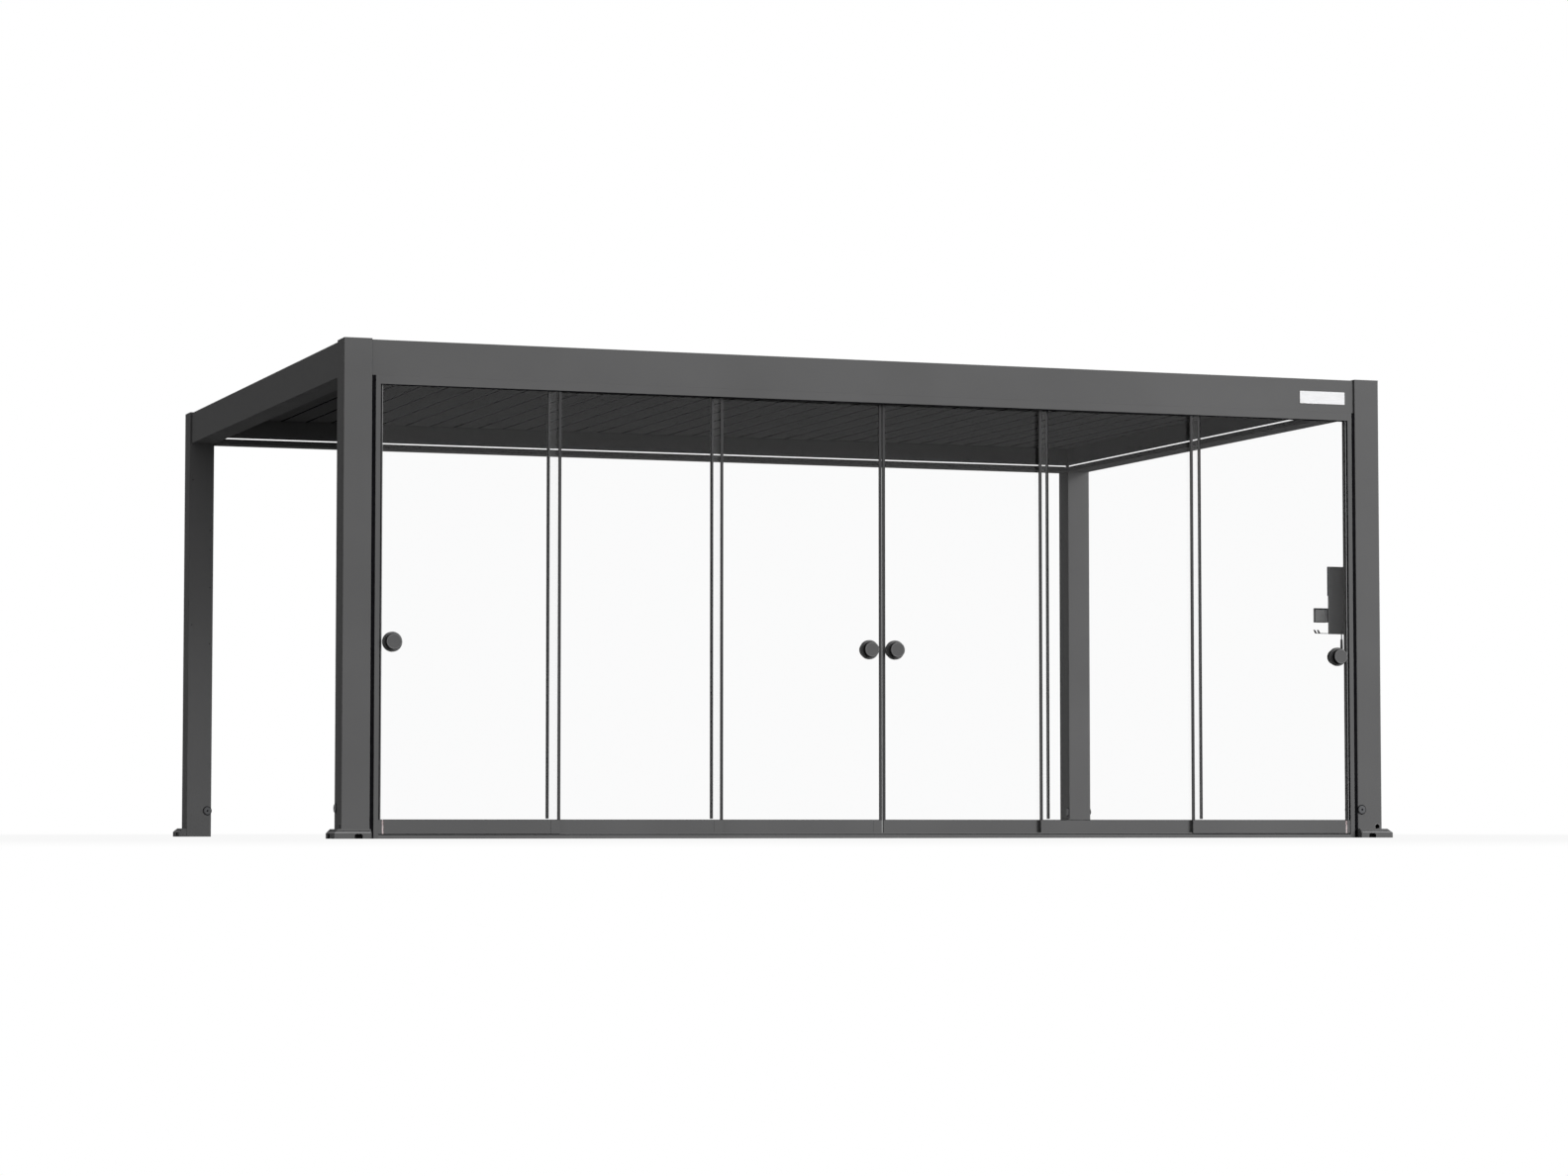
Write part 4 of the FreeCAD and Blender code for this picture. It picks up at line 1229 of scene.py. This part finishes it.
@dataclass
class DoorLeafTrim(SubAssembly):
    """The gaskets that hold a leaf's glass in its bottom rail, and the lips on its outer edge strip: a black
    lip that is partly painted shade and, on an outer leaf, a pale bead that is a painted highlight.
    """

    number: int = 1
    gasket_rise: float = 2.5 * MM
    gasket_width: float = 3.0 * MM
    lip_top: float = 2.350
    foot_gap: float = 1 * MM
    inner_start: float = 0.3 * MM
    inner_width: float = 6.0 * MM
    inner_proud: float = 2.0 * MM
    outer_start: float = 1.5 * MM
    outer_width: float = 8.0 * MM
    bead_width: float = 5.0 * MM
    outer_proud: float = 1.5 * MM

    def upright(self, name: str, start: float, width: float, proud: float) -> Workpiece:
        """Starts an upright lip on the front of the leaf's outer edge strip.

        Args:
            name: The end of the piece's name.
            start: How far from the strip's outer edge it starts.
            width: Its width.
            proud: How far it stands out.

        Returns:
            The piece.
        """
        strips = loose_parts(f"leaf_{self.number}_edge_strips")
        is_left = self.number <= len(LEAF_NUMBERS) / 2
        low, high = strips[0] if is_left else strips[-1]
        edge, way = (low.x, 1) if is_left else (high.x, -1)
        near, far = edge + way * start, edge + way * (start + width)
        corner = width * 0.2 * way
        front, shoulder = low.y - proud, low.y - proud * 0.6
        section = ((near, low.y), (near, shoulder), (near + corner, front), (far - corner, front),
                   (far, shoulder), (far, low.y))
        piece = Workpiece(f"leaf_{self.number}_{name}")
        piece.extrude(Axis.Z, section, low.z + self.foot_gap, self.lip_top)
        return piece

    def make(self) -> None:
        """Makes the black lip, partly painted shade along the strip's outer edge, on an outer leaf the pale
        bead beside it, a painted highlight line, and the front and rear gasket.
        """
        body = Body.of_leaf(self.number)
        if body is Body.FRAME:
            # Pale bead: a painted highlight line beside the lip.
            bead_start = self.outer_start + self.outer_width
            bead = self.upright("edge_highlight_bead", bead_start, self.bead_width, self.outer_proud)
            bead.done(self.palette, "highlight_paint", "strip_paint", body)
            lip = self.upright("edge_shade_lip", self.outer_start, self.outer_width, self.outer_proud)
        else:
            lip = self.upright("edge_shade_lip", self.inner_start, self.inner_width, self.inner_proud)
        # Black lip: a rubber lip that also paints the shade along the strip's edge.
        lip.done(self.palette, "seal_rubber", body=body)
        name = f"leaf_{self.number}"
        glass_low, glass_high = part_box(f"{name}_glass")
        rail_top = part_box(f"{name}_bottom_rail")[1].z
        strips = loose_parts(f"{name}_edge_strips")
        width, rise = self.gasket_width, self.gasket_rise
        wedge = ((0.0, 0.0), (width, 0.0), (width * 0.8, rise * 0.5), (0.0, rise))
        gaskets = Workpiece(f"{name}_gaskets")
        for face, way in ((glass_low.y, -1), (glass_high.y, 1)):
            section = [(face + way * across, rail_top + up) for across, up in wedge]
            gaskets.extrude(Axis.X, section, strips[0][1].x, strips[1][0].x)
        gaskets.done(self.palette, "seal_rubber", body=body)


@dataclass
class KnobTrim(SubAssembly):
    """The rims and the grip rings of a leaf's knob, on both of its sides: the pale rims are painted highlights
    and the black rings round the cap's side are painted shade.
    """

    number: int = 1
    cap_radius: float = 41 * MM
    cap_edge: float = 3 * MM
    cap_height: float = 22 * MM
    sleeve_proud: float = 0.7 * MM
    rim_width: float = 2.6 * MM
    rim_proud: float = 0.5 * MM
    rose_radius: float = 52 * MM
    rose_round: float = 5 * MM
    rose_height: float = 10 * MM
    glass_half: float = 4 * MM
    sides: int = 48

    def make(self) -> None:
        """Makes the pale rims round the cap's face and the rose's, painted highlights, and the black ring round
        the cap's side, painted shade.
        """
        low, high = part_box(f"leaf_{self.number}_knob")
        centre = (low + high) / 2
        reach = (high.y - low.y) / 2
        highlight_rings = Workpiece(f"leaf_{self.number}_knob_highlight_rims")
        shade_sleeves = Workpiece(f"leaf_{self.number}_knob_shade_grips")
        cap_face = self.cap_radius - self.cap_edge
        rose_face = self.rose_radius - self.rose_round
        hoops = ((highlight_rings, reach, cap_face, self.rim_width, self.rim_proud),
                 (highlight_rings, self.glass_half + self.rose_height, rose_face, self.rim_width, self.rim_proud),
                 (shade_sleeves, reach - self.cap_height + self.cap_edge, self.cap_radius + self.sleeve_proud,
                  2 * self.sleeve_proud, self.cap_height - 2.5 * self.cap_edge))
        for way in (-1, 1):
            out = Vector((0, way, 0))
            for piece, start, radius, width, length in hoops:
                place = centre + out * start
                piece.ring(circle(place, radius, self.sides), circle(place, radius - width, self.sides),
                           out * length)
        body = Body.of_leaf(self.number)
        # Pale rims: painted highlights. Black rings: painted shade on the cap's side.
        highlight_rings.done(self.palette, "highlight_paint", "knob_paint", body, bevel=0.2 * MM)
        shade_sleeves.done(self.palette, "seal_rubber", body=body, bevel=0.2 * MM)


@dataclass
class RailBristles(SubAssembly):
    """The pale pile that fills the gap near the outer end of an outer leaf's bottom rail."""

    number: int = 1
    foot_height: float = 42 * MM
    core_inset: float = 0.2 * MM
    core_top_gap: float = 1 * MM
    glass_gap: float = 0.2 * MM
    fibre: float = 1.9 * MM
    foot_fibre: float = 0.9 * MM
    foot_core: float = 1.4 * MM
    fibre_width: float = 0.35 * MM
    spacing: float = 0.8 * MM
    side_margin: float = 0.6 * MM
    end_margin: float = 0.8 * MM
    stray: float = 0.2 * MM
    lean: float = 0.3 * MM
    droop: float = 0.5 * MM
    seed: int = 7

    def make(self) -> None:
        """Makes the core and its fibres, which stand for the plain CAD solid."""
        node = f"leaf_{self.number}_rail_brush"
        low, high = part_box(node)
        glass_low, glass_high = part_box(f"leaf_{self.number}_glass")
        chance = random.Random(self.seed + self.number)
        bristles = Workpiece(f"leaf_{self.number}_bristles")
        shelf = low.z + self.foot_height
        for face, glass, way in ((low.y, glass_low.y, -1), (high.y, glass_high.y, 1)):
            upper = oblong(glass + way * self.glass_gap, shelf, face - way * self.fibre,
                           high.z - self.core_top_gap)
            lower = oblong(face - way * self.foot_core, low.z, face - way * self.foot_fibre, shelf)
            for section in (upper, lower):
                bristles.extrude(Axis.X, section, low.x + self.core_inset, high.x - self.core_inset)
            self.fill(bristles, (low, high), face, way, chance)
        piece = bristles.done(self.palette, "brush_pile", body=Body.of_leaf(self.number))
        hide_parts(node)

    def fill(self, bristles: Workpiece, room: Corner, face: float, way: int, chance: random.Random) -> None:
        """Adds the fibres of one side.

        Args:
            bristles: The piece.
            room: The CAD solid's corners, which the fibres stay inside.
            face: The Y of the fibres' tips.
            way: -1 for the front and 1 for the rear.
            chance: The seeded random numbers.
        """
        low, high = room
        columns = int((high.x - low.x - 2 * self.side_margin) / self.spacing)
        rows = int((high.z - low.z - 2 * self.end_margin) / self.spacing)
        for column in range(columns + 1):
            for row in range(rows + 1):
                rise = row * self.spacing
                x = low.x + self.side_margin + column * self.spacing + chance.uniform(-self.stray, self.stray)
                z = low.z + self.end_margin + rise + chance.uniform(-self.stray, self.stray)
                deep = self.fibre if rise > self.foot_height else self.foot_fibre
                tip = Vector((x + chance.uniform(-self.lean, self.lean),
                              face - way * chance.uniform(0.0, self.lean),
                              z + chance.uniform(-self.droop, self.lean)))
                bristles.spike(Vector((x, face - way * deep, z)), tip, self.fibre_width)


@dataclass
class Studio(SubAssembly):
    """The floor, the lamp, the sky and the photo's camera."""

    floor_half: float = 60.0
    floor_parts: int = 12
    floor_drop: float = 0.2 * MM
    sky_horizon: float = 0.27
    sky_zenith: float = 0.72
    key_azimuth: float = 35.0
    key_elevation: float = 13.0
    key_distance: float = 40.0
    key_size: float = 18.0
    key_power: float = 12600.0
    camera_place: tuple[float, float, float] = (-7.811, -22.139, 0.0715)
    camera_tilt: float = 0.05932
    camera_turn: float = -0.34573
    camera_lens: float = 91.58
    camera_reach: float = 300.0
    sensor: float = 36.0

    def floor(self) -> None:
        """Makes the large plain floor."""
        mesh = bmesh.new()
        parts = self.floor_parts
        bmesh.ops.create_grid(mesh, x_segments=parts, y_segments=parts, size=self.floor_half)
        data = bpy.data.meshes.new("studio_floor")
        mesh.to_mesh(data)
        mesh.free()
        ground = bpy.data.objects.new("studio_floor", data)
        bpy.context.scene.collection.objects.link(ground)
        ground.location.z = -self.floor_drop
        self.palette.paint(ground, "studio_floor")

    def sky(self) -> None:
        """Makes a soft sky, lighter overhead, that the camera, mirrors and glass see as white."""
        world = bpy.data.worlds.new("studio_sky")
        bpy.context.scene.world = world
        tree = ShaderTree(world, "ShaderNodeOutputWorld")
        height = tree.add("ShaderNodeSeparateXYZ", {0: tree.coords["Generated"]}).outputs["Z"]
        level = tree.spread(height, self.sky_horizon, self.sky_zenith, 0.0, 1.0)
        dim = tree.add("ShaderNodeBackground", {"Color": WHITE, "Strength": level})
        white = tree.add("ShaderNodeBackground", {"Color": WHITE, "Strength": 1.0})
        tree.choose(tree.any_ray("Is Camera Ray", "Is Glossy Ray", "Is Transmission Ray"), dim, white)

    def lamp(self) -> None:
        """Makes the large soft lamp at the front right, which the glass doesn't mirror."""
        light = bpy.data.lights.new("soft_key", "AREA")
        light.shape = "SQUARE"
        light.size = self.key_size
        light.energy = self.key_power
        turn, rise = math.radians(self.key_azimuth), math.radians(self.key_elevation)
        way = Vector((math.sin(turn) * math.cos(rise), -math.cos(turn) * math.cos(rise), math.sin(rise)))
        lamp = bpy.data.objects.new("soft_key", light)
        lamp.location = way * self.key_distance
        lamp.rotation_euler = (-way).to_track_quat("-Z", "Y").to_euler()
        lamp.visible_glossy = False
        lamp.visible_transmission = False
        bpy.context.scene.collection.objects.link(lamp)

    def camera(self) -> None:
        """Makes the camera at the photo's own place and angle."""
        data = bpy.data.cameras.new("photo_camera")
        data.lens = self.camera_lens
        data.sensor_width = self.sensor
        data.clip_end = self.camera_reach
        camera = bpy.data.objects.new("photo_camera", data)
        camera.location = self.camera_place
        camera.rotation_euler = (math.pi / 2 + self.camera_tilt, 0.0, self.camera_turn)
        bpy.context.scene.collection.objects.link(camera)
        bpy.context.scene.camera = camera

    def make(self) -> None:
        """Makes the whole studio."""
        self.floor()
        self.sky()
        self.lamp()
        self.camera()
        bpy.context.scene.view_settings.view_transform = "Standard"


def dress_nodes(palette: Palette) -> None:
    """Gives each carried-over CAD node the finish of its slot."""
    slots = {part["node"]: part["material_slot"] for part in frame["record"]["subparts"]}
    for name, node in frame["nodes"].items():
        palette.paint(node, slots[name])
    LOG.info("finishes on %d nodes", len(frame["nodes"]))


def makers(palette: Palette) -> Iterable[SubAssembly]:
    """The sub-assemblies that add pieces, in the order in which they are made."""
    for kind in (PostFeet, PilotHoles, LouvreFittings, LightStrips, HeadBrushes, FrameSeals, SwitchBox):
        yield kind(palette)
    for kind, numbers in ((DoorLeafTrim, LEAF_NUMBERS), (KnobTrim, KNOB_LEAVES), (RailBristles, OUTER_LEAVES)):
        for number in numbers:
            yield kind(palette, number)


def main() -> None:
    """Builds the studio, the finishes and every added piece."""
    logging.basicConfig(level=logging.INFO, format="%(message)s")
    palette = Palette()
    Studio(palette).make()
    dress_nodes(palette)
    for maker in makers(palette):
        maker.make()
        LOG.info("made %s", type(maker).__name__)


if __name__ == "__main__":
    main()
